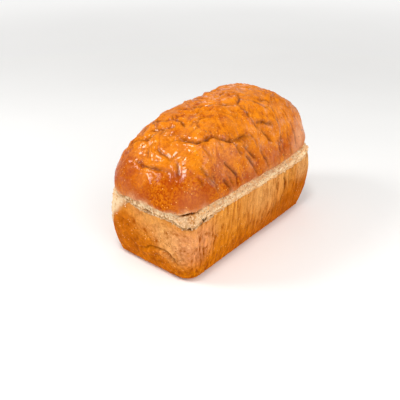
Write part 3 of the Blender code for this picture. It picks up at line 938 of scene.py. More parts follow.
@dataclass
class CrustGroups:
    """Shader node groups that several finishes share, each built once."""

    mottle: bpy.types.NodeTree = field(init=False)
    flecks: bpy.types.NodeTree = field(init=False)
    crumb: bpy.types.NodeTree = field(init=False)

    def __post_init__(self) -> None:
        """Build the groups."""
        self.mottle = self.build_mottle()
        self.flecks = self.build_flecks()
        self.crumb = self.build_crumb()

    @staticmethod
    def build_mottle() -> bpy.types.NodeTree:
        """Build cloudy variation: a value from 0 to 1 with patches of a given size.

        Returns:
            The group.
        """
        inputs = {"Vector": ORIGIN, "Size": 10 * MM, "Contrast": 1.0}
        group, board, entry = new_group("mottle", inputs, {"Value": "NodeSocketFloat"})
        cloud = board.noise(board.shrunk(entry["Vector"], entry["Size"]), 3.0, 0.55)
        half = board.math("DIVIDE", 0.25, entry["Contrast"])
        value = board.graded(cloud, board.minus(0.5, half), board.plus(0.5, half))
        board.add("NodeGroupOutput", {"Value": value})
        return group

    @staticmethod
    def build_flecks() -> bpy.types.NodeTree:
        """Build small scattered spots: a mask of 1 on a spot, in a given share of the cells.

        Returns:
            The group.
        """
        inputs = {"Vector": ORIGIN, "Size": 3 * MM, "Share": 0.2, "Spread": 0.35}
        group, board, entry = new_group("flecks", inputs, {"Mask": "NodeSocketFloat"})
        vector = board.shrunk(entry["Vector"], entry["Size"])
        cells = board.add("ShaderNodeTexVoronoi", {"Vector": vector, "Scale": 1.0}).outputs
        chance = board.add("ShaderNodeSeparateColor", {0: cells["Color"]}).outputs[0]
        chosen = board.math("LESS_THAN", chance, entry["Share"])
        inner = board.times(entry["Spread"], 0.4)
        spot = board.graded(cells["Distance"], inner, entry["Spread"], (1.0, 0.0))
        board.add("NodeGroupOutput", {"Mask": board.times(spot, chosen)})
        return group

    @staticmethod
    def build_crumb() -> bpy.types.NodeTree:
        """Build torn crumb: its colour, and its height in mm for bump.

        Returns:
            The group.
        """
        inputs = {"Vector": ORIGIN, "Grain": 2.2 * MM}
        inputs.update({name: (1.0, 1.0, 1.0, 1.0) for name in ("Pale", "Deep", "Bran")})
        outputs = {"Color": "NodeSocketColor", "Height": "NodeSocketFloat"}
        group, board, entry = new_group("torn crumb", inputs, outputs)
        vector = board.shrunk(entry["Vector"], entry["Grain"])
        fibres = board.noise(board.stretched(vector, (0.6, 0.6, 1.3)), 4.0, 0.65, 0.6)
        clouds = board.noise(board.scaled(vector, 0.22), 3.0, 0.6)
        # Deep where the fibres are low: partly the crumb's own tone, partly painted shade in its hollows.
        tone = board.summed(0.0, (fibres, 0.6), (clouds, 0.4))
        base = board.blend(board.graded(tone, 0.38, 0.62), entry["Deep"], entry["Pale"])
        cells = {"Vector": board.scaled(vector, 0.9), "Scale": 1.0}
        specks = board.add("ShaderNodeTexVoronoi", cells).outputs
        chance = board.add("ShaderNodeSeparateColor", {0: specks["Color"]}).outputs[1]
        few = board.math("LESS_THAN", chance, 0.16)
        spot = board.times(board.graded(specks["Distance"], 0.15, 0.42, (1.0, 0.0)), few)
        coloured = board.blend(board.times(spot, 0.75), base, entry["Bran"])
        board.add("NodeGroupOutput", {"Color": coloured, "Height": fibres})
        return group


@dataclass(frozen=True)
class Mottle:
    """Cloudy variation: the size of its patches in metres, its contrast, and factors on its place."""

    size: float
    contrast: float
    factors: tuple[float, float, float] = (1.0, 1.0, 1.0)


@dataclass(frozen=True)
class Flecks:
    """Scattered spots: cell size in metres, share of cells with a spot, its width, and its strength."""

    size: float
    share: float
    spread: float
    strength: float = 1.0


@dataclass(frozen=True)
class CrownFinish:
    """Glazed, well-browned crown: colours on screen, the ramp's by mm above the crown's lower edge.

    The weights say how much each mottle browns the crust, or lifts it in mm for bump.
    """

    # The ramp fades to pale crust at the edge; its mauve-brown stops just above the edge are partly painted
    # sheen of grazing light.
    ramp: tuple[tuple[float, str], ...] = (
        (0.0, "F6D2A4"),
        (1.6, "E0A87C"),
        (4.2, "C88458"),
        (9.0, "BE6830"),
        (19.0, "CE6A0C"),
        (36.0, "EC8A12"),
        (68.0, "F08A0C"),
    )
    deep: str = "A43F00"
    golden: str = "FA9A14"
    # Painted sheen: the pale mauve colour of the shoulder patches that catch grazing light.
    pale: str = "F4B484"
    # Painted shade in creases and cracks.
    furrow: str = "501800"
    light_speck: str = "FFC878"
    dark_speck: str = "4A2008"
    roughness: tuple[float, float] = (0.36, 0.56)
    coat: float = 0.7
    coat_roughness: float = 0.14
    coat_start: tuple[float, float] = (4 * MM, 22 * MM)
    wide: Mottle = Mottle(28 * MM, 1.0)
    patchy: Mottle = Mottle(9 * MM, 1.3)
    fine: Mottle = Mottle(2.1 * MM, 1.6)
    grit: Mottle = Mottle(1.3 * MM, 1.8)
    dull: Mottle = Mottle(12 * MM, 1.2)
    light_specks: Flecks = Flecks(2.8 * MM, 0.5, 0.23, 0.6)
    dark_specks: Flecks = Flecks(7.5 * MM, 0.16, 0.12, 0.85)
    wide_wander: float = 3 * MM
    patchy_wander: float = 1.8 * MM
    end_drop: float = 2.6 * MM
    baked_start: float = 12 * MM
    browning: tuple[float, float, float] = (0.36, 0.2, 0.22)
    gilding: float = 0.45
    # Painted shade in the fine relief's hollows and painted light on its rises: the most share of the deep
    # and golden colours.
    shade_in_hollows_most: float = 0.5
    light_on_rises_most: float = 0.4
    bumps: tuple[float, float, float] = (0.24, 0.3, 0.3)


@dataclass(frozen=True)
class WallFinish:
    """Dull tin-baked wall: colours on screen, and pairs of strengths on the long sides and the ends."""

    upper: str = "F0A244"
    middle: str = "EA8E18"
    lower: str = "E48400"
    bright: str = "EE9010"
    blotch: str = "CC6C0C"
    flaky: str = "F4A878"
    dark: str = "A04C00"
    deep: str = "C46000"
    golden: str = "FAAC48"
    pale: str = "FCC884"
    # Dark specks, and painted shade in folds and cracks.
    crease: str = "582400"
    roughness: float = 0.6
    wide: Mottle = Mottle(34 * MM, 1.0)
    patchy: Mottle = Mottle(7.5 * MM, 1.4)
    streaks: Mottle = Mottle(2.8 * MM, 1.7, (1.0, 1.0, 0.12))
    fine: Mottle = Mottle(4 * MM, 1.5)
    blotches: Mottle = Mottle(11 * MM, 2.2)
    grit: Mottle = Mottle(1.3 * MM, 1.8)
    pits: Flecks = Flecks(3.6 * MM, 0.45, 0.34)
    specks: Flecks = Flecks(4.8 * MM, 0.24, 0.17, 0.8)
    flakes: Flecks = Flecks(3.2 * MM, 0.45, 0.28)
    wander: float = 30 * MM
    grit_strength: float = 0.17
    # Painted shade in the streaks' hollows and painted light on their rises.
    shade_in_hollows_most: float = 0.7
    light_on_rises_most: float = 0.65
    shade_in_hollows_strengths: tuple[float, float] = (1.0, 1.15)
    grain_strengths: tuple[float, float] = (1.2, 1.0)
    patchy_strengths: tuple[float, float] = (0.14, 0.22)
    blotch_strengths: tuple[float, float] = (0.15, 0.6)
    pit_strengths: tuple[float, float] = (0.1, 0.5)
    flake_strengths: tuple[float, float] = (0.35, 0.6)
    bumps: tuple[float, float] = (-0.6, -0.4)


@dataclass(frozen=True)
class CrumbFinish:
    """Pale torn crumb of the band and its tufts: colours on screen."""

    pale: str = "FFE8BC"
    palest: str = "FFF0CC"
    deep: str = "F2B068"
    bran: str = "B06C2C"
    # Painted shade in the cracks, reached after a first step to bran.
    crack: str = "441A06"
    roughness: float = 0.85
    # Painted light: the band on the end, shaded by the crown's overhang, is painted paler.
    end_painted_light: float = 0.5
    skin_darker: float = 0.3
    # Painted shade in the crumb's pits.
    shade_in_hollows_most: float = 0.75
    shade_in_hollows_strengths: tuple[float, float] = (1.0, 0.7)
    # Painted highlight on the band's lit ridge.
    ridge_painted_highlight: float = 0.6
    crack_start: tuple[float, float] = (0.3, 0.95)
    bump: float = 1.6


@dataclass(frozen=True)
class Patch:
    """A patch of crust baked darker or paler than the rest, or of painted sheen: its middle, reach and
    strength.
    """

    middle: tuple[float, float, float]
    reach: float
    strength: float


@dataclass
class CrustMaterial:
    """The whole loaf's finish: crown, torn band and tin-baked wall, told apart by attributes."""

    groups: CrustGroups
    crown: CrownFinish = CrownFinish()
    wall: WallFinish = WallFinish()
    crumb: CrumbFinish = CrumbFinish()
    rag_scale: float = 260.0
    edge_rag: float = 8 * MM
    edge_fade: tuple[float, float] = (-0.6 * MM, 2.6 * MM)
    pale_rag: float = 0.5
    pale_fade: tuple[float, float] = (0.15, 0.85)
    shine: float = 0.015
    dark_crown: tuple[Patch, ...] = (
        Patch((-0.119, -0.034, 0.089), 0.042, 1.0),
        Patch((-0.100, -0.052, 0.100), 0.027, 0.6),
        Patch((-0.122, 0.030, 0.104), 0.040, 0.5),
        Patch((-0.060, -0.060, 0.098), 0.040, 0.35),
        Patch((0.122, 0.000, 0.100), 0.050, 0.5),
    )
    # Painted sheen: pale mauve patches where the glaze catches grazing light on the shoulders.
    pale_crown: tuple[Patch, ...] = (
        Patch((0.072, -0.056, 0.096), 0.022, 0.4),
        Patch((0.096, -0.050, 0.103), 0.028, 0.38),
        Patch((-0.060, -0.052, 0.118), 0.026, 0.1),
        Patch((-0.108, -0.056, 0.090), 0.024, 0.1),
    )
    dark_wall: tuple[Patch, ...] = (
        Patch((-0.112, 0.040, 0.030), 0.050, 0.7),
        Patch((0.095, -0.056, 0.018), 0.064, 0.75),
        Patch((0.030, -0.056, 0.006), 0.050, 0.6),
        Patch((-0.030, -0.056, 0.000), 0.040, 0.5),
    )
    dark_crumb: tuple[Patch, ...] = (Patch((-0.116, -0.056, 0.075), 0.018, 0.6),)
    flaky_wall: tuple[Patch, ...] = (Patch((-0.102, -0.058, 0.046), 0.036, 0.6),)
    pale_wall: tuple[Patch, ...] = (
        Patch((-0.118, -0.036, 0.044), 0.034, 0.62),
        Patch((-0.118, -0.004, 0.064), 0.030, 0.3),
        Patch((-0.094, -0.058, 0.054), 0.030, 0.2),
        Patch((0.010, -0.059, 0.066), 0.060, 0.4),
        Patch((0.090, -0.059, 0.064), 0.030, 0.6),
    )
    material: bpy.types.Material = field(init=False)
    board: NodeBoard = field(init=False)
    place: Socket = field(init=False)
    carried: dict[str, Socket] = field(init=False)

    def __post_init__(self) -> None:
        """Start the material, with the place on the loaf and the values that the mesh carries."""
        self.material = bpy.data.materials.new("loaf crust")
        self.material.use_nodes = True
        self.board = NodeBoard(self.material.node_tree)
        self.place = self.board.add("ShaderNodeTexCoord").outputs["Object"]
        names = ("above_edge", "furrow", "pale", "crumbly", "fine", "end", "ridge")
        readers = {name: self.board.add("ShaderNodeAttribute", attribute_name=name) for name in names}
        self.carried = {name: reader.outputs["Fac"] for name, reader in readers.items()}

    def build(self) -> bpy.types.Material:
        """Make the material.

        Returns:
            The material.
        """
        board, carried = self.board, self.carried
        shader = self.material.node_tree.nodes["Principled BSDF"]
        crown_colour, crown_height = self.crown_nodes()
        wall_colour, wall_height = self.wall_nodes()
        crumb_colour, crumb_height = self.crumb_nodes()

        rag = board.minus(board.noise(board.scaled(self.place, self.rag_scale), 3.0), 0.5)
        crown_share = board.graded(board.summed(carried["above_edge"], (rag, self.edge_rag)), *self.edge_fade)
        pale_share = board.graded(board.summed(carried["pale"], (rag, self.pale_rag)), *self.pale_fade)
        lower_colour = board.blend(pale_share, wall_colour, crumb_colour)
        board.join(board.blend(crown_share, lower_colour, crown_colour), shader, "Base Color")

        rough_lower = board.mixed(pale_share, self.wall.roughness, self.crumb.roughness)
        dull = self.mottle(self.crown.dull)
        rough_crown = board.graded(dull, 0.0, 1.0, self.crown.roughness)
        board.join(board.mixed(crown_share, rough_lower, rough_crown), shader, "Roughness")
        glaze = board.times(crown_share, board.graded(carried["above_edge"], *self.crown.coat_start))
        glaze = board.times(glaze, board.graded(dull, 0.2, 0.8, (1.0, 0.3)))
        shy = board.graded(self.patches(self.dark_crown), 0.3, 0.85, (1.0, 0.2))
        board.join(board.times(board.times(glaze, shy), self.crown.coat), shader, "Coat Weight")
        shader.inputs["Coat Roughness"].default_value = self.crown.coat_roughness
        shader.inputs["Specular IOR Level"].default_value = self.shine

        low = board.mixed(pale_share, wall_height, crumb_height)
        height = board.mixed(crown_share, low, crown_height)
        bump = board.add("ShaderNodeBump", {"Strength": 1.0, "Distance": MM, "Height": height})
        board.join(bump.outputs["Normal"], shader, "Normal")
        return self.material

    def mottle(self, kind: Mottle) -> Socket:
        """Place the mottle group.

        Args:
            kind: The mottle's size, contrast and factors.

        Returns:
            Its value.
        """
        board = self.board
        place = board.stretched(self.place, kind.factors)
        inputs = {"Vector": place, "Size": kind.size, "Contrast": kind.contrast}
        return board.add("ShaderNodeGroup", inputs, node_tree=self.groups.mottle).outputs["Value"]

    def flecks(self, kind: Flecks) -> Socket:
        """Place the flecks group.

        Args:
            kind: The spots' sizes and strength.

        Returns:
            The strength on a spot, 0 elsewhere.
        """
        inputs = {"Vector": self.place, "Size": kind.size, "Share": kind.share, "Spread": kind.spread}
        mask = self.board.add("ShaderNodeGroup", inputs, node_tree=self.groups.flecks).outputs["Mask"]
        return self.board.times(mask, kind.strength)

    def patches(self, patches: tuple[Patch, ...]) -> Socket:
        """How much each place is baked darker or paler, or painted with sheen.

        Args:
            patches: The patches.

        Returns:
            Their strengths added up at each place.
        """
        board, total = self.board, 0.0
        for patch in patches:
            ends = {0: self.place, 1: patch.middle}
            away = board.add("ShaderNodeVectorMath", ends, operation="DISTANCE").outputs["Value"]
            share = board.graded(away, patch.reach / 4, patch.reach, (patch.strength, 0.0))
            total = board.plus(share, total)
        return total

    def crown_ramp(self, above: Socket) -> Socket:
        """The crown's colour by height.

        Args:
            above: Height above the crown's lower edge in metres.

        Returns:
            The colour.
        """
        top = self.crown.ramp[-1][0]
        ramp = self.board.add("ShaderNodeValToRGB", {0: self.board.math("DIVIDE", above, top * MM)})
        elements = ramp.color_ramp.elements
        while len(elements) < len(self.crown.ramp):
            elements.new(1.0)
        for element, (height, tone) in zip(elements, self.crown.ramp):
            element.position = height / top
            element.color = colour(tone)
        return ramp.outputs[0]

    def crown_nodes(self) -> tuple[Socket, Socket]:
        """The crown's colour and bump height in mm.

        Returns:
            The colour and the height.
        """
        board, carried, finish = self.board, self.carried, self.crown
        wide, patchy, fine, grit = (
            self.mottle(kind) for kind in (finish.wide, finish.patchy, finish.fine, finish.grit)
        )
        above = board.summed(
            carried["above_edge"],
            (board.minus(wide, 0.5), finish.wide_wander),
            (board.minus(patchy, 0.5), finish.patchy_wander),
            (carried["end"], -finish.end_drop),
        )
        start = board.graded(above, 0.0, finish.baked_start)
        baked = board.times(self.patches(self.dark_crown), start)
        darker = board.summed(baked, *zip((patchy, fine, grit), finish.browning))
        # Painted shade in hollows of the fine relief, painted light on its rises.
        hollow_shade = board.graded(carried["fine"], 0.1, -0.8, (0.0, finish.shade_in_hollows_most))
        tone = board.blend(board.plus(darker, hollow_shade), self.crown_ramp(above), colour(finish.deep))
        raised = board.graded(carried["fine"], 0.1, 1.0, (0.0, finish.light_on_rises_most))
        golden = board.summed(raised, (board.times(wide, fine), finish.gilding))
        tone = board.blend(golden, tone, colour(finish.golden))
        # Painted sheen on the shoulders.
        tone = board.blend(self.patches(self.pale_crown), tone, colour(finish.pale))
        light = self.flecks(finish.light_specks)
        tone = board.blend(light, tone, colour(finish.light_speck))
        tone = board.blend(self.flecks(finish.dark_specks), tone, colour(finish.dark_speck))
        # Painted shade: creases and cracks darkened toward the furrow colour.
        hollow = board.times(board.math("POWER", carried["furrow"], 0.8), 0.9)
        tone = board.blend(hollow, tone, colour(finish.furrow))
        return tone, board.summed(0.0, *zip((fine, patchy, light), finish.bumps))

    def wall_nodes(self) -> tuple[Socket, Socket]:
        """The wall's colour and bump height in mm.

        Returns:
            The colour and the height.
        """
        board, carried, finish = self.board, self.carried, self.wall
        end = carried["end"]
        kinds = (finish.wide, finish.patchy, finish.fine, finish.blotches, finish.grit, finish.streaks)
        wide, patchy, fine, blotches, grit, streaks = (self.mottle(kind) for kind in kinds)
        grain = board.mixed(end, streaks, fine)
        level = board.add("ShaderNodeSeparateXYZ", {0: self.place}).outputs["Z"]
        height = board.summed(level, (board.minus(wide, 0.5), finish.wander))
        tone = board.blend(board.graded(height, 6 * MM, 40 * MM), colour(finish.lower), colour(finish.middle))
        tone = board.blend(board.graded(height, 36 * MM, 74 * MM), tone, colour(finish.upper))
        tone = board.blend(self.patches(self.dark_wall), tone, colour(finish.deep))
        blotched = board.times(blotches, board.mixed(end, *finish.blotch_strengths))
        tone = board.blend(blotched, tone, colour(finish.blotch))
        tone = board.blend(self.patches(self.pale_wall), tone, colour(finish.pale))
        tone = board.blend(self.patches(self.flaky_wall), tone, colour(finish.flaky))
        low = board.graded(height, 75 * MM, 10 * MM, (0.20, 0.42))
        # Painted shade in the hollows of the streaks and pits.
        hollow_shade = board.graded(carried["fine"], 0.1, -1.0, (0.0, finish.shade_in_hollows_most))
        darker = board.summed(
            board.times(grit, finish.grit_strength),
            (hollow_shade, board.mixed(end, *finish.shade_in_hollows_strengths)),
            (grain, board.times(low, board.mixed(end, *finish.grain_strengths))),
            (patchy, board.mixed(end, *finish.patchy_strengths)),
        )
        tone = board.blend(darker, tone, colour(finish.dark))
        # Painted light on the raised streaks, its colour paler higher up.
        risen = board.graded(height, 20 * MM, 70 * MM)
        golden = board.blend(risen, colour(finish.bright), colour(finish.golden))
        tone = board.blend(board.graded(carried["fine"], 0.1, 1.1, (0.0, finish.light_on_rises_most)), tone, golden)
        pits = board.times(self.flecks(finish.pits), board.mixed(end, *finish.pit_strengths))
        tone = board.blend(pits, tone, colour(finish.dark))
        flakes = board.times(self.flecks(finish.flakes), board.graded(height, 0.0, 35 * MM, (0.3, 1.0)))
        flakes = board.times(flakes, board.mixed(end, *finish.flake_strengths))
        tone = board.blend(flakes, tone, colour(finish.pale))
        tone = board.blend(self.flecks(finish.specks), tone, colour(finish.crease))
        # Painted shade in folds and cracks.
        tone = board.blend(board.times(carried["furrow"], 0.85), tone, colour(finish.crease))
        return tone, board.summed(0.0, *zip((grain, patchy), finish.bumps))

    def crumb_nodes(self) -> tuple[Socket, Socket]:
        """The torn crumb's colour and bump height in mm.

        Returns:
            The colour and the height.
        """
        board, carried, finish = self.board, self.carried, self.crumb
        end = carried["end"]
        tones = {"Pale": colour(finish.pale), "Deep": colour(finish.deep), "Bran": colour(finish.bran)}
        crumb = board.add("ShaderNodeGroup", {"Vector": self.place, **tones}, node_tree=self.groups.crumb)
        # Painted light on the band of the end, which the crown's overhang shades.
        tone = board.blend(board.times(end, finish.end_painted_light), crumb.outputs["Color"], colour(finish.palest))
        # Painted shade in the crumb's pits.
        hollow_shade = board.graded(carried["fine"], 0.1, -1.0, (0.0, finish.shade_in_hollows_most))
        darker = board.summed(
            self.patches(self.dark_crumb),
            (hollow_shade, board.mixed(end, *finish.shade_in_hollows_strengths)),
            (board.minus(1.0, carried["crumbly"]), finish.skin_darker),
        )
        tone = board.blend(darker, tone, colour(finish.bran))
        # Painted highlight on the band's lit ridge under the lip.
        tone = board.blend(board.times(carried["ridge"], finish.ridge_painted_highlight), tone, colour(finish.pale))
        # Painted shade in the cracks: first towards bran, then towards the crack colour.
        tone = board.blend(board.times(carried["furrow"], 1.5), tone, colour(finish.bran))
        tone = board.blend(board.graded(carried["furrow"], *finish.crack_start), tone, colour(finish.crack))
        return tone, board.times(crumb.outputs["Height"], finish.bump)


@dataclass(frozen=True)
class Marks:
    """Where cracks, crumb ridges, strands and pale corners show; cracks get painted shade, ridges a painted
    highlight.

    A corner is its place round the loaf, how far it spreads there, and in metres how far down it is pale.
    """

    crack_start: float = 1.1 * MM
    crack_rise: float = 1.8 * MM
    edge_crack_full: float = 2 * MM
    near_corner: tuple[float, float] = (1.0, 0.22)
    near_corner_gain: float = 0.6
    skin_crack: tuple[float, float] = (1.2, 0.24)
    crack_off_band: float = 0.35
    ridge_under_lip: float = 0.4 * MM
    ridge_spread: float = 1.3
    strands_above_rim: float = 1.6 * MM
    strands_spread: float = 1.3 * MM
    strands_crack: float = 3 * MM
    strands_start: float = 0.8
    end_fade: float = 0.04
    pale_corners: tuple[tuple[float, float, float], ...] = (
        (7.05, 0.42, 39 * MM),
        (5.0, 0.3, 14 * MM),
        (3.0, 0.16, 7 * MM),
    )
    pale_above_rim: float = 6 * MM
    pale_least: float = 4 * MM
    pale_fade: float = 11 * MM
    pale_waver: float = 0.25
    pale_waver_size: float = 14 * MM
    skin_crumb: float = 0.3
    crown_bran: float = 0.10


@dataclass
class Loaf:
    """The loaf's crust as one mesh, from its form and its relief."""

    form: LoafForm = LoafForm()
    relief: CrustRelief = CrustRelief()
    marks: Marks = Marks()
    columns_along: int = 200
    columns_across: int = 100
    wall_rings: int = 44
    band_rings: int = 22
    lip_rings: int = 10
    shoulder_rings: int = 30
    shoulder_end: float = 0.85
    wrinkle_size: float = 13 * MM
    wrinkle_height: float = 1.0 * MM
    ridge_size: float = 8 * MM
    patch_size: float = 34 * MM
    pleat_size: float = 8 * MM
    pleat_length: float = 32 * MM
    fold_size: float = 15 * MM
    pore_size: float = 3.0 * MM
    pore_depth: float = 0.2 * MM
    streak_width: float = 5 * MM
    streak_length: float = 90 * MM
    streak_depth: float = 0.75 * MM
    mottle_size: float = 9 * MM
    mottle_depth: float = 0.45 * MM
    crumb_size: float = 4.6 * MM
    crumb_height: float = 1.7 * MM

    def ring_levels(self) -> list[tuple[object, float]]:
        """The rings from the base up.

        Returns:
            The method that places each ring, and the ring's level.
        """
        shoulder = self.graded(1, self.shoulder_end, self.shoulder_rings, 1.5)
        rings = [(self.form.wall, level) for level in self.graded(0, 1, self.wall_rings, 0.75)[:-1]]
        rings += [(self.form.band, level) for level in self.graded(0, 1, self.band_rings, 1.25)]
        rings += [(self.form.crown_lip, level) for level in self.graded(0, 1, self.lip_rings, 0.8)[1:]]
        rings += [(self.form.dome, level) for level in shoulder[1:]]
        return rings

    @staticmethod
    def graded(start: float, end: float, count: int, power: float) -> np.ndarray:
        """Steps from start to end, closer at the start where power is over 1."""
        return start + (end - start) * np.linspace(0, 1, count) ** power

    def smooth_points(self) -> tuple[np.ndarray, dict[str, np.ndarray], list[tuple[int, ...]]]:
        """Place the grid on the smooth form.

        Returns:
            The points, the masks that the finish reads, and the faces.
        """
        rings = self.ring_levels()
        u, v, ring, faces = box_grid(self.columns_along, self.columns_across, len(rings))
        part_out = np.maximum(np.abs(u), np.abs(v))
        middle = part_out < TINY
        edge_u = np.where(middle, 1, u / np.maximum(part_out, TINY))
        edge_v = np.where(middle, 0, v / np.maximum(part_out, TINY))
        points = np.zeros((len(u), 3))
        on_crown = np.zeros(len(u))
        on_band = np.zeros(len(u))
        for index, (place, level) in enumerate(rings):
            chosen = ring == index
            levels = np.full(chosen.sum(), level)
            points[chosen] = place(edge_u[chosen], edge_v[chosen], levels)
            on_band[chosen] = float(place == self.form.band)
            on_crown[chosen] = float(place in (self.form.crown_lip, self.form.dome))
        top = (ring == len(rings) - 1) & (part_out < 1 - TINY)
        points[top] = self.form.dome(edge_u[top], edge_v[top], part_out[top] * self.shoulder_end)
        masks = {"crown": on_crown, "band": on_band}
        self.mark(points, edge_u, edge_v, masks)
        return points, masks, faces

    def mark(self, points: np.ndarray, u: np.ndarray, v: np.ndarray, masks: dict[str, np.ndarray]) -> None:
        """Add the masks that go by the rim, the crown's lower edge and the place round the loaf.

        Args:
            points: Points on the smooth form.
            u: Their rays along the loaf, on the unit square's edge.
            v: Their rays across it.
            masks: The masks, with the crown's and the band's.
        """
        form, marks = self.form, self.marks
        turn = form.place_round(u, v)
        first = np.arange(2 * (self.columns_along + self.columns_across))
        order = first[np.argsort(turn[first])]
        round_u, round_v, round_turn = u[order], v[order], turn[order]
        rounds = (
            form.edge_at(round_u, round_v, round_turn),
            form.rim_at(round_u, round_v, round_turn),
            form.torn(round_u, round_v),
        )
        edge, rim, torn = (np.interp(turn, round_turn, values, period=8) for values in rounds)
        above_rim = points[:, 2] - rim
        near_corner = bell(turn, *marks.near_corner)
        # Painted shade: how dark the cracks under the band and under the crown's edge are painted, more at
        # the near corner.
        crack = np.clip((form.rim_crack(turn, above_rim, torn) - marks.crack_start) / marks.crack_rise, 0, 1)
        crack += form.edge_crack(turn, edge - points[:, 2]) * torn / marks.edge_crack_full
        crack = np.clip(crack * (1 + marks.near_corner_gain * near_corner), 0, 1)
        shown = np.maximum(masks["band"], bell(turn, *marks.skin_crack))
        ridge_level = form.lip_above_rim - marks.ridge_under_lip
        ridge = bell(above_rim, ridge_level, form.lip_reach * marks.ridge_spread)
        strands = bell(above_rim, marks.strands_above_rim, marks.strands_spread)
        gaping = np.clip(form.crack_depths.at(turn) / marks.strands_crack - marks.strands_start, 0, 1)
        masks["above_edge"] = points[:, 2] - edge
        masks["turn"] = turn
        masks["end"] = smooth_step(np.abs(u) - np.abs(v), -marks.end_fade, marks.end_fade)
        masks["crack"] = crack * (marks.crack_off_band + (1 - marks.crack_off_band) * shown)
        # Painted highlight on the band's lit ridge under the lip, left out at the near corner.
        masks["ridge"] = masks["band"] * ridge * (1 - near_corner)
        masks["strands"] = masks["band"] * strands * gaping

    def pale_places(self, points: np.ndarray, masks: dict[str, np.ndarray]) -> np.ndarray:
        """Where the crust stayed pale: the band, and below it where the dough missed the tin.

        Args:
            points: Points of the crust.
            masks: Masks of the smooth form.

        Returns:
            A value from 0 to 1 for each point.
        """
        marks = self.marks
        reach = sum(down * bell(masks["turn"], turn, spread) for turn, spread, down in marks.pale_corners)
        reach *= 1 + marks.pale_waver * noise_at(points, marks.pale_waver_size, 9.0)
        drop = self.form.rim_height + marks.pale_above_rim - points[:, 2]
        missed = 1 - smooth_step(drop - reach, -marks.pale_fade, marks.pale_fade)
        return np.maximum(masks["band"], missed * (masks["crown"] < 0.5) * (reach > marks.pale_least))

    def build(self) -> bpy.types.Object:
        """Build the crust's mesh with its relief and masks.

        Returns:
            The object, still to be dressed.
        """
        points, masks, faces = self.smooth_points()
        mesh = bpy.data.meshes.new("loaf_crust")
        mesh.from_pydata(points.tolist(), [], faces)
        mesh.update()
        normals = np.zeros(len(points) * 3)
        mesh.vertex_normals.foreach_get("vector", normals)
        normals = normals.reshape(-1, 3)

        relief = self.relief.lumps(points, self.relief.crown_lumps) * masks["crown"]
        relief += self.relief.lumps(points, self.relief.band_lumps) * masks["band"]
        relief += self.relief.lumps(points, self.relief.wall_lumps) * (1 - masks["crown"] - masks["band"])
        bent = points + self.relief.waver * np.stack(
            [noise_at(points, self.relief.waver_size, shift) for shift in (4.0, 5.0, 6.0)], axis=1
        )
        # furrow: painted shade for the finish, in the cracks under the band and in the hollows of the
        # creases.
        furrow = masks["crack"]
        surface = BVHTree.FromPolygons(points.tolist(), faces)
        creases = list(TOP_CREASES + SHOULDER_PLEATS + WALL_FOLDS + END_FOLDS)
        creases += self.relief.hidden(self.form) + self.relief.wrinkles()
        for crease in creases:
            route = np.array([surface.find_nearest(place)[0] for place in self.form.route(crease)])
            moved, inside = self.relief.crease(bent, normals, crease, route)
            relief += moved
            furrow = np.maximum(furrow, inside)
        relief *= smooth_step(points[:, 2], self.relief.start_height, self.relief.full_height)
        points = points + normals * relief[:, None]
        mesh.vertices.foreach_set("co", points.ravel())
        masks["furrow"] = furrow
        masks["pale"] = self.pale_places(points, masks)
        skin_crumb, above = self.marks.skin_crumb, masks["above_edge"]
        masks["crumbly"] = masks["pale"] * (skin_crumb + (1 - skin_crumb) * masks["band"])
        masks["tufts"] = masks["crumbly"] * (1 - smooth_step(above, -3 * MM, 0))
        bran = self.marks.crown_bran * smooth_step(above, 6 * MM, 14 * MM)
        masks["bran"] = np.maximum(masks["tufts"], bran)
        for name in CARRIED:
            attribute = mesh.attributes.new(name, "FLOAT", "POINT")
            attribute.data.foreach_set("value", masks[name])
        mesh.shade_smooth()
        loaf = bpy.data.objects.new("loaf_crust", mesh)
        bpy.context.scene.collection.objects.link(loaf)
        return loaf

    def fine_sizes(self) -> dict[str, float]:
        """The fine relief's sizes, from wrinkle_size down in the list of fields.

        Returns:
            The sizes in metres by the names of the tree's inputs.
        """
        names = [one.name for one in fields(self)]
        names = names[names.index("wrinkle_size"):]
        return {name.replace("_", " ").title(): getattr(self, name) for name in names}

    def fine_relief_tree(self, material: bpy.types.Material) -> bpy.types.NodeTree:
        """Geometry nodes that raise wrinkles, pores, streaks and crumb on the crust.

        Args:
            material: The crust's finish.

        Returns:
            The node tree.
        """
        tree = bpy.data.node_groups.new("fine crust relief", "GeometryNodeTree")
        tree.interface.new_socket(name="Geometry", in_out="INPUT", socket_type="NodeSocketGeometry")
        for name in self.fine_sizes():
            tree.interface.new_socket(name=name, in_out="INPUT", socket_type="NodeSocketFloat")
        tree.interface.new_socket(name="Geometry", in_out="OUTPUT", socket_type="NodeSocketGeometry")
        board = NodeBoard(tree)
        entry = board.add("NodeGroupInput").outputs
        place = board.add("GeometryNodeInputPosition").outputs[0]
        normal = board.add("GeometryNodeInputNormal").outputs[0]
        axes = board.add("ShaderNodeSeparateXYZ", {0: place}).outputs

        def carried(name: str) -> Socket:
            """Read a value that the mesh carries."""
            return board.add("GeometryNodeInputNamedAttribute", {"Name": name}, data_type="FLOAT").outputs[0]

        def swing(
            across: str, upward: str, detail: float, roughness: float, bend: float, lean: float = 0.0
        ) -> Socket:
            """Add noise from about -1 to 1.

            Args:
                across: Name of the input with the size of its swellings across.
                upward: Name of the input with their size upward.
                detail: How many finer layers it has.
                roughness: How strong those are.
                bend: How far the swellings are bent.
                lean: How far they lean along the loaf for each metre up.

            Returns:
                The noise.
            """
            inputs = {0: board.math("DIVIDE", board.summed(axes[0], (axes[2], lean)), entry[across])}
            inputs[1] = board.math("DIVIDE", axes[1], entry[across])
            inputs[2] = board.math("DIVIDE", axes[2], entry[upward])
            vector = board.add("ShaderNodeCombineXYZ", inputs).outputs[0]
            return board.times(board.minus(board.noise(vector, detail, roughness, bend), 0.5), 3.0)

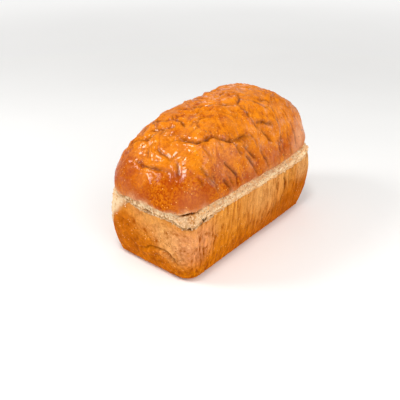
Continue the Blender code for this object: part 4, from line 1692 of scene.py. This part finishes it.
        def ridged(value: Socket) -> Socket:
            """Turn noise into narrow ridges between broad hollows, from about -0.4 to 1."""
            ridge = board.math("SUBTRACT", 1.0, board.math("ABSOLUTE", value), clamp=True)
            return board.minus(board.times(board.math("POWER", ridge, 5.0), 1.3), 0.3)

        crown, pale, end_face = carried("crown"), carried("pale"), carried("end")
        wall = board.math("SUBTRACT", 1.0, board.math("MAXIMUM", crown, pale), clamp=True)
        on_top = board.graded(carried("above_edge"), 18 * MM, 42 * MM)
        patchy = swing("Patch Size", "Patch Size", 1.0, 0.5, 0.0)
        crumpled = board.graded(patchy, -0.6, 0.4, (0.25, 1.0))
        valleys = ridged(swing("Wrinkle Size", "Wrinkle Size", 1.0, 0.4, 1.2))
        ridges = ridged(swing("Ridge Size", "Ridge Size", 1.0, 0.4, 0.8))
        wrinkles = board.times(board.summed(0.0, (ridges, 0.45), (valleys, -0.65)), crumpled)
        narrow = ridged(swing("Pleat Size", "Pleat Length", 1.0, 0.4, 0.5, 0.45))
        folds = swing("Fold Size", "Streak Length", 1.0, 0.4, 0.3, 0.45)
        pleats = board.summed(0.0, (folds, 1.1), (narrow, -0.8))
        pleats = board.times(pleats, board.graded(axes[0], -98 * MM, -70 * MM, (0.15, 1.0)))
        pleats = board.times(pleats, board.graded(axes[0], 70 * MM, 100 * MM, (1.0, 0.25)))
        skin = board.mixed(on_top, pleats, wrinkles)
        skin = board.times(skin, board.graded(carried("above_edge"), 1 * MM, 12 * MM, (0.25, 1.0)))
        pores = swing("Pore Size", "Pore Size", 2.0, 0.6, 0.0)
        grooves = ridged(swing("Streak Width", "Streak Length", 1.0, 0.5, 0.5))
        fibres = swing("Pore Size", "Fold Size", 2.0, 0.6, 0.4)
        rough = swing("Crumb Size", "Mottle Size", 3.0, 0.6, 0.5)
        pitted = board.graded(axes[0], -60 * MM, -95 * MM, (0.35, 1.3))
        streaks = board.summed(board.times(rough, pitted), (fibres, 0.45), (grooves, -0.5))
        clouds = swing("Mottle Size", "Mottle Size", 3.0, 0.55, 0.0)
        crumbs = board.times(swing("Crumb Size", "Crumb Size", 4.0, 0.7, 0.5), carried("crumbly"))
        baked = board.mixed(end_face, streaks, clouds)
        baked_height = board.times(baked, board.mixed(end_face, entry["Streak Depth"], entry["Mottle Depth"]))
        pitted = board.times(pores, entry["Pore Depth"])
        skin_height = board.minus(board.times(skin, entry["Wrinkle Height"]), pitted)
        parts = (
            (crown, board.summed(skin, (pores, -0.5)), skin_height),
            (wall, baked, baked_height),
            (pale, crumbs, board.times(crumbs, entry["Crumb Height"])),
        )
        fine = board.summed(0.0, *((share, pattern) for share, pattern, _ in parts))
        total = board.summed(0.0, *((share, height) for share, _, height in parts))
        total = board.times(total, board.graded(axes[2], 1.5 * MM, 6 * MM))
        # The stored pattern also sets the finish's painted shade in hollows and painted light on rises.
        kept = board.add(
            "GeometryNodeStoreNamedAttribute",
            {"Geometry": entry["Geometry"], "Name": "fine", "Value": fine},
            data_type="FLOAT",
            domain="POINT",
        )
        offset = board.scaled(normal, total)
        moved = board.add("GeometryNodeSetPosition", {"Geometry": kept.outputs[0], "Offset": offset})
        real = board.add("GeometryNodeRealizeInstances", {"Geometry": moved.outputs[0]})
        dressed = board.add("GeometryNodeSetMaterial", {"Geometry": real.outputs[0], "Material": material})
        board.add("NodeGroupOutput", {"Geometry": dressed.outputs[0]})
        return tree

    def dress(self, loaf: bpy.types.Object, material: bpy.types.Material) -> bpy.types.Object:
        """Args:
            loaf: The crust from build().
            material: Its finish.

        Returns:
            The finished piece.
        """
        apply_nodes(loaf, self.fine_relief_tree(material), self.fine_sizes())
        fit_to_box(loaf)
        loaf.data.shade_smooth()
        return loaf


def apply_nodes(piece: bpy.types.Object, tree: bpy.types.NodeTree, values: dict[str, object]) -> None:
    """Run a geometry node tree on a piece and keep the result as its plain mesh.

    Args:
        piece: The piece whose mesh is replaced.
        tree: The node tree.
        values: The tree's inputs by name.
    """
    modifier = piece.modifiers.new(tree.name, "NODES")
    modifier.node_group = tree
    for item in tree.interface.items_tree:
        if item.in_out == "INPUT" and item.name in values:
            modifier[item.identifier] = values[item.name]
    evaluated = piece.evaluated_get(bpy.context.evaluated_depsgraph_get())
    mesh = bpy.data.meshes.new_from_object(evaluated)
    piece.modifiers.remove(modifier)
    piece.data = mesh


def mesh_points(mesh: bpy.types.Mesh) -> np.ndarray:
    """Read a mesh's points.

    Args:
        mesh: The mesh.

    Returns:
        The points, one a row.
    """
    points = np.zeros(len(mesh.vertices) * 3)
    mesh.vertices.foreach_get("co", points)
    return points.reshape(-1, 3)


def fit_to_box(piece: bpy.types.Object, gap: float = 0.1 * MM) -> None:
    """Move and very slightly scale a piece so that it fills the solid's box.

    Args:
        piece: The piece.
        gap: How far inside the box it stays.
    """
    low, high = (np.array(corner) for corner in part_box(NODE))
    points = mesh_points(piece.data)
    own_low, own_high = points.min(axis=0), points.max(axis=0)
    factors = (high - low - gap * np.array([2, 2, 1])) / (own_high - own_low)
    shift = (low + high) / 2 - factors * (own_low + own_high) / 2
    shift[2] = low[2] - factors[2] * own_low[2]
    LOG.info("crust scaled by %s and moved by %s mm", np.round(factors, 4), np.round(shift / MM, 2))
    piece.data.vertices.foreach_set("co", (points * factors + shift).ravel())
    piece.data.update()


@dataclass(frozen=True)
class StrewnFinish:
    """Finish of small strewn pieces: two colours on screen that they vary between."""

    name: str
    pale: str
    deep: str
    roughness: float = 0.85
    shine: float = 0.12
    grain_scale: float = 900.0
    bump_height: float = 0.3 * MM

    def build(self) -> bpy.types.Material:
        """Make the material.

        Returns:
            The material.
        """
        material = bpy.data.materials.new(self.name)
        material.use_nodes = True
        board = NodeBoard(material.node_tree)
        shader = material.node_tree.nodes["Principled BSDF"]
        tone = board.add("ShaderNodeAttribute", attribute_name="tone").outputs["Fac"]
        place = board.add("ShaderNodeTexCoord").outputs["Object"]
        grain = board.noise(board.scaled(place, self.grain_scale), 2.0)
        share = board.summed(0.0, (grain, 0.5), (tone, 0.5))
        board.join(board.blend(share, colour(self.pale), colour(self.deep)), shader, "Base Color")
        bump = board.add("ShaderNodeBump", {"Strength": 0.6, "Distance": self.bump_height, "Height": grain})
        board.join(bump.outputs["Normal"], shader, "Normal")
        shader.inputs["Roughness"].default_value = self.roughness
        shader.inputs["Specular IOR Level"].default_value = self.shine
        return material


@dataclass(frozen=True)
class Strewn:
    """Small pieces of one kind strewn over the crust, where one of its masks lets them lie."""

    name: str
    mask: str
    finish: StrewnFinish
    a_square_metre: float
    smallest: float
    largest: float
    stretch: tuple[float, float, float]
    seed: int
    upright: bool = False
    lean: float = 0.5

    def shape(self) -> bpy.types.Object:
        """Make one piece, about 1 m across before it is scaled: a rough lump drawn out by the stretch.

        Returns:
            The piece, not yet in the scene.
        """
        lump = bmesh.new()
        bmesh.ops.create_icosphere(lump, subdivisions=1, radius=0.5)
        draw = np.random.default_rng(self.seed)
        for vert in lump.verts:
            drawn_out = Vector([place * size for place, size in zip(vert.co, self.stretch)])
            vert.co = drawn_out * draw.uniform(0.7, 1.25)
        mesh = bpy.data.meshes.new(self.name + " shape")
        lump.to_mesh(mesh)
        lump.free()
        return bpy.data.objects.new(self.name + " shape", mesh)

    def tree(self) -> bpy.types.NodeTree:
        """Geometry nodes that strew one shape over the crust and make the copies real.

        Returns:
            The node tree.
        """
        tree = bpy.data.node_groups.new(self.name, "GeometryNodeTree")
        kinds = {"Geometry": "Geometry", "Crust": "Object", "Shape": "Object", "A Square Metre": "Float"}
        kinds.update({"Smallest": "Float", "Largest": "Float", "Seed": "Int", "Material": "Material"})
        for name, kind in kinds.items():
            tree.interface.new_socket(name=name, in_out="INPUT", socket_type="NodeSocket" + kind)
        tree.interface.new_socket(name="Geometry", in_out="OUTPUT", socket_type="NodeSocketGeometry")
        board = NodeBoard(tree)
        entry = board.add("NodeGroupInput").outputs
        crust = board.add("GeometryNodeObjectInfo", {"Object": entry["Crust"]})
        shape = board.add("GeometryNodeObjectInfo", {"Object": entry["Shape"], "As Instance": True})
        mask = board.add("GeometryNodeInputNamedAttribute", {"Name": self.mask}, data_type="FLOAT").outputs[0]
        density = board.times(mask, entry["A Square Metre"])
        points = board.add(
            "GeometryNodeDistributePointsOnFaces",
            {"Mesh": crust.outputs["Geometry"], "Density": density, "Seed": entry["Seed"]},
        )
        sizes = {2: entry["Smallest"], 3: entry["Largest"], "Seed": entry["Seed"]}
        size = board.add("FunctionNodeRandomValue", sizes, data_type="FLOAT")
        most = (self.lean, self.lean, math.tau)
        turns = {0: tuple(-angle for angle in most), 1: most, "Seed": entry["Seed"]}
        turn = board.add("FunctionNodeRandomValue", turns, data_type="FLOAT_VECTOR")
        strewn = {"Points": points.outputs["Points"], "Instance": shape.outputs["Geometry"]}
        placed = board.add("GeometryNodeInstanceOnPoints", {**strewn, "Scale": size.outputs[1]})
        if not self.upright:
            tree.links.new(points.outputs["Rotation"], placed.inputs["Rotation"])
        turned = board.add(
            "GeometryNodeRotateInstances", {"Instances": placed.outputs[0], "Rotation": turn.outputs[0]}
        )
        tone = board.add("FunctionNodeRandomValue", {"Seed": entry["Seed"]}, data_type="FLOAT")
        kept = board.add(
            "GeometryNodeStoreNamedAttribute",
            {"Geometry": turned.outputs[0], "Name": "tone", "Value": tone.outputs[1]},
            data_type="FLOAT",
            domain="INSTANCE",
        )
        real = board.add("GeometryNodeRealizeInstances", {"Geometry": kept.outputs[0]})
        dressing = {"Geometry": real.outputs[0], "Material": entry["Material"]}
        dressed = board.add("GeometryNodeSetMaterial", dressing)
        board.add("NodeGroupOutput", {"Geometry": dressed.outputs[0]})
        return tree

    def build(self, crust: bpy.types.Object) -> bpy.types.Object:
        """Args:
            crust: The finished crust.

        Returns:
            All the pieces as one object.
        """
        shape = self.shape()
        piece = bpy.data.objects.new(self.name, bpy.data.meshes.new(self.name))
        bpy.context.scene.collection.objects.link(piece)
        values = {"Crust": crust, "Shape": shape, "A Square Metre": self.a_square_metre, "Seed": self.seed}
        values.update({"Smallest": self.smallest, "Largest": self.largest, "Material": self.finish.build()})
        apply_nodes(piece, self.tree(), values)
        bpy.data.objects.remove(shape)
        keep_in_box(piece)
        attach(piece, BODY)
        LOG.info("%s: %d faces", self.name, len(piece.data.polygons))
        return piece


CRUMB_TUFTS = Strewn(
    name="crumb_tufts",
    mask="tufts",
    finish=StrewnFinish("tuft crumb", "FFE8C4", "D09450"),
    a_square_metre=260000,
    smallest=1.0 * MM,
    largest=2.6 * MM,
    stretch=(1, 0.8, 0.7),
    seed=11,
)
TORN_STRANDS = Strewn(
    name="torn_strands",
    mask="strands",
    finish=StrewnFinish("strand crumb", "F0C890", "A87030"),
    a_square_metre=1500000,
    smallest=2.6 * MM,
    largest=6.0 * MM,
    stretch=(0.2, 0.2, 1),
    seed=12,
    upright=True,
    lean=0.35,
)
BRAN_FLAKES = Strewn(
    name="bran_flakes",
    mask="bran",
    finish=StrewnFinish("bran", "B07434", "4A2408", 0.7),
    a_square_metre=26000,
    smallest=0.8 * MM,
    largest=1.7 * MM,
    stretch=(1, 0.7, 0.22),
    seed=13,
)


def keep_in_box(piece: bpy.types.Object, margin: float = 0.02 * MM) -> None:
    """Push in what stands out of the solid's box.

    Args:
        piece: The piece.
        margin: How far inside the box it stays.
    """
    low, high = (np.array(corner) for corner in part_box(NODE))
    points = np.clip(mesh_points(piece.data), low + margin, high - margin)
    piece.data.vertices.foreach_set("co", points.ravel())
    piece.data.update()


@dataclass(frozen=True)
class Lamp:
    """A square soft light that faces the loaf: direction in degrees, sizes in metres, power in watts."""

    name: str
    azimuth: float
    elevation: float
    distance: float
    side: float
    power: float


@dataclass
class Stage:
    """Pale floor, soft studio lights and the camera at the photograph's angle."""

    target: tuple[float, float, float] = (-0.0650, -0.0281, 0.0700)
    distance: float = 0.5081
    azimuth: float = -50.794
    elevation: float = 28.433
    focal_pixels: float = 520.45
    clip_start: float = 0.01
    floor_reach: float = 6.0
    floor_tones: tuple[str, str] = ("F4F3F1", "FAF9F7")
    glow_start: tuple[float, float] = (0.5, 2.2)
    far_glow: float = 0.45
    even_light: float = 0.45
    backdrop: float = 0.85
    lit_point: tuple[float, float, float] = (0, 0, 0.07)
    lamps: tuple[Lamp, ...] = (
        Lamp("key", -132, 38, 1.4, 0.38, 7.6),
        Lamp("overhead", -68, 66, 1.3, 0.26, 5.6),
        Lamp("fill", -12, 32, 1.6, 1.2, 12.2),
        Lamp("low", -98, 10, 1.5, 1.0, 1.9),
        Lamp("right", 62, 16, 1.5, 0.5, 1.2),
        Lamp("back", 127, 25, 1.4, 0.3, 0.5),
    )

    def direction(self, azimuth: float, elevation: float) -> Vector:
        """The direction towards a camera or light at an azimuth and elevation in degrees."""
        turn, rise = math.radians(azimuth), math.radians(elevation)
        return Vector((math.sin(turn) * math.cos(rise), -math.cos(turn) * math.cos(rise), math.sin(rise)))

    def add_camera(self) -> bpy.types.Object:
        """Add the camera.

        Returns:
            The camera object.
        """
        data = bpy.data.cameras.new("camera")
        data.sensor_width = SENSOR_WIDTH
        data.lens = self.focal_pixels * SENSOR_WIDTH / IMAGE_WIDTH
        data.clip_start = self.clip_start
        camera = bpy.data.objects.new("camera", data)
        outward = self.direction(self.azimuth, self.elevation)
        camera.location = Vector(self.target) + outward * self.distance
        camera.rotation_euler = outward.to_track_quat("Z", "Y").to_euler()
        bpy.context.scene.collection.objects.link(camera)
        bpy.context.scene.camera = camera
        return camera

    def add_light(self, lamp: Lamp) -> None:
        """Add one light.

        Args:
            lamp: Its name, place, size and power.
        """
        data = bpy.data.lights.new(lamp.name, "AREA")
        data.shape = "SQUARE"
        data.size = lamp.side
        data.energy = lamp.power
        light = bpy.data.objects.new(lamp.name, data)
        outward = self.direction(lamp.azimuth, lamp.elevation)
        light.location = Vector(self.lit_point) + outward * lamp.distance
        light.rotation_euler = outward.to_track_quat("Z", "Y").to_euler()
        bpy.context.scene.collection.objects.link(light)

    def add_floor(self) -> bpy.types.Object:
        """Add the pale floor.

        Returns:
            The floor object.
        """
        signs = ((-1, -1), (1, -1), (1, 1), (-1, 1))
        corners = [(x * self.floor_reach, y * self.floor_reach, 0) for x, y in signs]
        mesh = bpy.data.meshes.new("floor")
        mesh.from_pydata(corners, [], [(0, 1, 2, 3)])
        floor = bpy.data.objects.new("floor", mesh)
        material = bpy.data.materials.new("pale floor")
        material.use_nodes = True
        board = NodeBoard(material.node_tree)
        shader = material.node_tree.nodes["Principled BSDF"]
        place = board.add("ShaderNodeTexCoord").outputs["Object"]
        grain = board.noise(board.scaled(place, 3.0), 2.0)
        board.join(board.blend(grain, *(colour(tone) for tone in self.floor_tones)), shader, "Base Color")
        away = board.add("ShaderNodeVectorMath", {0: place}, operation="LENGTH").outputs["Value"]
        board.join(board.graded(away, *self.glow_start, (0.0, self.far_glow)), shader, "Emission Strength")
        shader.inputs["Emission Color"].default_value = WHITE
        shader.inputs["Roughness"].default_value = 0.9
        mesh.materials.append(material)
        bpy.context.scene.collection.objects.link(floor)
        return floor

    def add_surroundings(self) -> None:
        """Add the even pale light from all round, seen by the camera as a paler backdrop."""
        world = bpy.data.worlds.new("studio")
        world.use_nodes = True
        background = world.node_tree.nodes["Background"]
        background.inputs["Color"].default_value = WHITE
        board = NodeBoard(world.node_tree)
        seen = board.add("ShaderNodeLightPath").outputs["Is Camera Ray"]
        board.join(board.mixed(seen, self.even_light, self.backdrop), background, "Strength")
        bpy.context.scene.world = world
        bpy.context.scene.view_settings.view_transform = "Standard"

    def build(self) -> None:
        """Set the whole stage."""
        self.add_floor()
        self.add_surroundings()
        for lamp in self.lamps:
            self.add_light(lamp)
        self.add_camera()


def main() -> None:
    """Build every piece in order and report it."""
    logging.basicConfig(level=logging.INFO, format="%(name)s: %(message)s")
    groups = CrustGroups()
    finish = CrustMaterial(groups).build()
    loaf = Loaf()
    crust = loaf.dress(loaf.build(), finish)
    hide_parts(NODE)
    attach(crust, BODY)
    LOG.info("crust: %d faces", len(crust.data.polygons))
    for strewn in (CRUMB_TUFTS, TORN_STRANDS, BRAN_FLAKES):
        strewn.build(crust)
    Stage().build()


if __name__ == "__main__":
    main()
